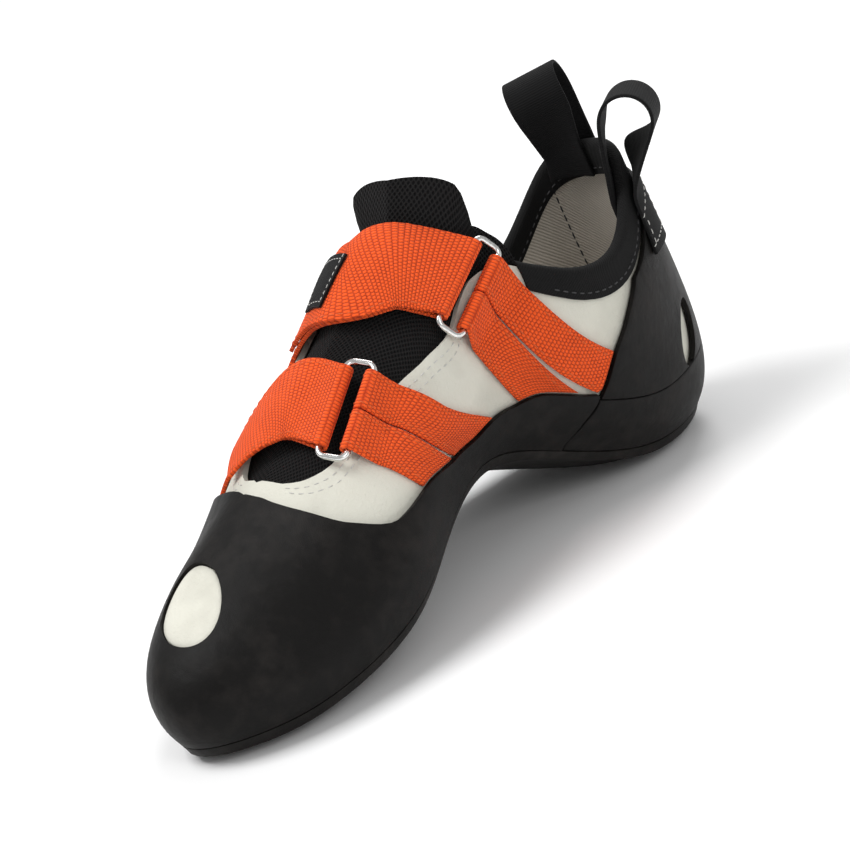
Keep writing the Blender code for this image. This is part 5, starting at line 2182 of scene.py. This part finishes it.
@dataclass
class Label:
    """Bare cloth patch on the upper strap, sewn round its edge."""

    stations: tuple = (Station(0.592, 1.03, 0), Station(0.586, 1.17, 0))
    columns: int = 11
    rows: int = 14

    def build(self, finishes: Finishes) -> None:
        """Build the patch and its stitches.

        Args:
            finishes: Finishes of the shoe.
        """
        straps = ClosureSet(Tier.UPPER, CLOSURES[Tier.UPPER])
        widths = np.linspace(-LABEL_WIDTH / 2, LABEL_WIDTH / 2, self.columns)
        places, heights, _ = straps.tracks(self.stations, widths, self.rows)
        lift = WEB_HEIGHT + WEBBING + GAP + WEBBING / 2 + GAP + LABEL / 2
        rows = LAST.lifted(places, heights, lift)
        patch = Maker.ribbon("label_patch", rows, LABEL, [finishes.label])
        Maker.mount(patch, "label_cloth", "label")
        normal = LAST.normal(places, heights)
        face = rows + normal * LABEL / 2
        lines = [face[1], face[-2], face[1:-1, 1], face[1:-1, -2]]
        ups = [normal[1], normal[-2], normal[1:-1, 1], normal[1:-1, -2]]
        Maker.stitches("label_stitches", lines, ups, finishes.pale_thread, "label_cloth",
                       length=0.0015, gap=0.0006, radius=0.00016)


class Panel(NamedTuple):
    """Soft light panel: name, place, side length and power."""

    name: str
    place: tuple
    size: float
    power: float


PANELS = [
    Panel("key_panel", (-0.45, -0.8, 1.7), 0.9, 25.0),
    Panel("side_panel", (1.5, -0.3, 1.0), 0.7, 5.5),
    Panel("back_panel", (-0.6, 1.2, 1.4), 0.7, 13.0),
]


@dataclass
class Studio:
    """Pale floor, soft lights and the camera at the photograph's angle."""

    azimuth: float = 51.558
    elevation: float = 19.651
    roll: float = -17.633
    distance: float = 0.9
    focal_pixels: float = 2973.157
    frame_pixels: float = 850.0
    sensor: float = 36.0
    clip_start: float = 0.01
    aim: tuple = (0.010639, -0.122, 0.04875)
    floor_half: float = 6.0
    floor_drop: float = 0.0002
    sky: float = 0.50

    def target(self) -> Vector:
        """Point that the camera looks at."""
        return Vector(np.array(self.aim) + SHIFT)

    def camera(self) -> None:
        """Place the camera."""
        a, e, r = (math.radians(v) for v in (self.azimuth, self.elevation, self.roll))
        back = Vector((math.sin(a) * math.cos(e), -math.cos(a) * math.cos(e), math.sin(e)))
        right = Vector((math.cos(a), math.sin(a), 0.0))
        up = back.cross(right)
        across = math.cos(r) * right + math.sin(r) * up
        upward = -math.sin(r) * right + math.cos(r) * up
        lens = bpy.data.cameras.new("photo_camera")
        lens.sensor_width = self.sensor
        lens.lens = self.focal_pixels / self.frame_pixels * self.sensor
        lens.clip_start = self.clip_start
        body = bpy.data.objects.new("photo_camera", lens)
        pose = Matrix((across, upward, back)).transposed().to_4x4()
        pose.translation = self.target() + back * self.distance
        body.matrix_world = pose
        bpy.context.scene.collection.objects.link(body)
        bpy.context.scene.camera = body

    def light(self, panel: Panel) -> None:
        """Add one soft panel that faces the shoe.

        Args:
            panel: The panel.
        """
        lamp = bpy.data.lights.new(panel.name, "AREA")
        lamp.shape = "SQUARE"
        lamp.size = panel.size
        lamp.energy = panel.power
        body = bpy.data.objects.new(panel.name, lamp)
        body.location = panel.place
        body.rotation_euler = (self.target() - Vector(panel.place)).to_track_quat("-Z", "Y").to_euler()
        bpy.context.scene.collection.objects.link(body)

    def build(self) -> None:
        """Build floor, lights, surroundings and camera."""
        mesh = bpy.data.meshes.new("floor")
        half = self.floor_half
        corners = [(-half, -half, 0), (half, -half, 0), (half, half, 0), (-half, half, 0)]
        mesh.from_pydata(corners, [], [(0, 1, 2, 3)])
        mesh.materials.append(FloorPaint().make())
        floor = bpy.data.objects.new("floor", mesh)
        floor.location = (0, 0, -self.floor_drop)
        bpy.context.scene.collection.objects.link(floor)
        world = bpy.data.worlds.new("studio")
        world.use_nodes = True
        sky = world.node_tree.nodes["Background"]
        sky.inputs["Color"].default_value = (1.0, 1.0, 1.0, 1.0)
        sky.inputs["Strength"].default_value = self.sky
        bpy.context.scene.world = world
        for panel in PANELS:
            self.light(panel)
        bpy.context.scene.view_settings.view_transform = "Standard"
        self.camera()


def main() -> None:
    """Build the looks in order."""
    logging.basicConfig(level=logging.INFO, format="%(name)s %(message)s")
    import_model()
    finishes = Finishes()
    UpperShell().build(finishes)
    FrontRubber().build(finishes)
    HeelRubber().build(finishes)
    Bottom().build(finishes)
    TonguePanel().build(finishes)
    CollarEdge().build(finishes)
    for tier in Tier:
        ClosureSet(tier, CLOSURES[tier]).build(finishes)
    PullLoops().build(finishes)
    Label().build(finishes)
    Studio().build()


if __name__ == "__main__":
    main()
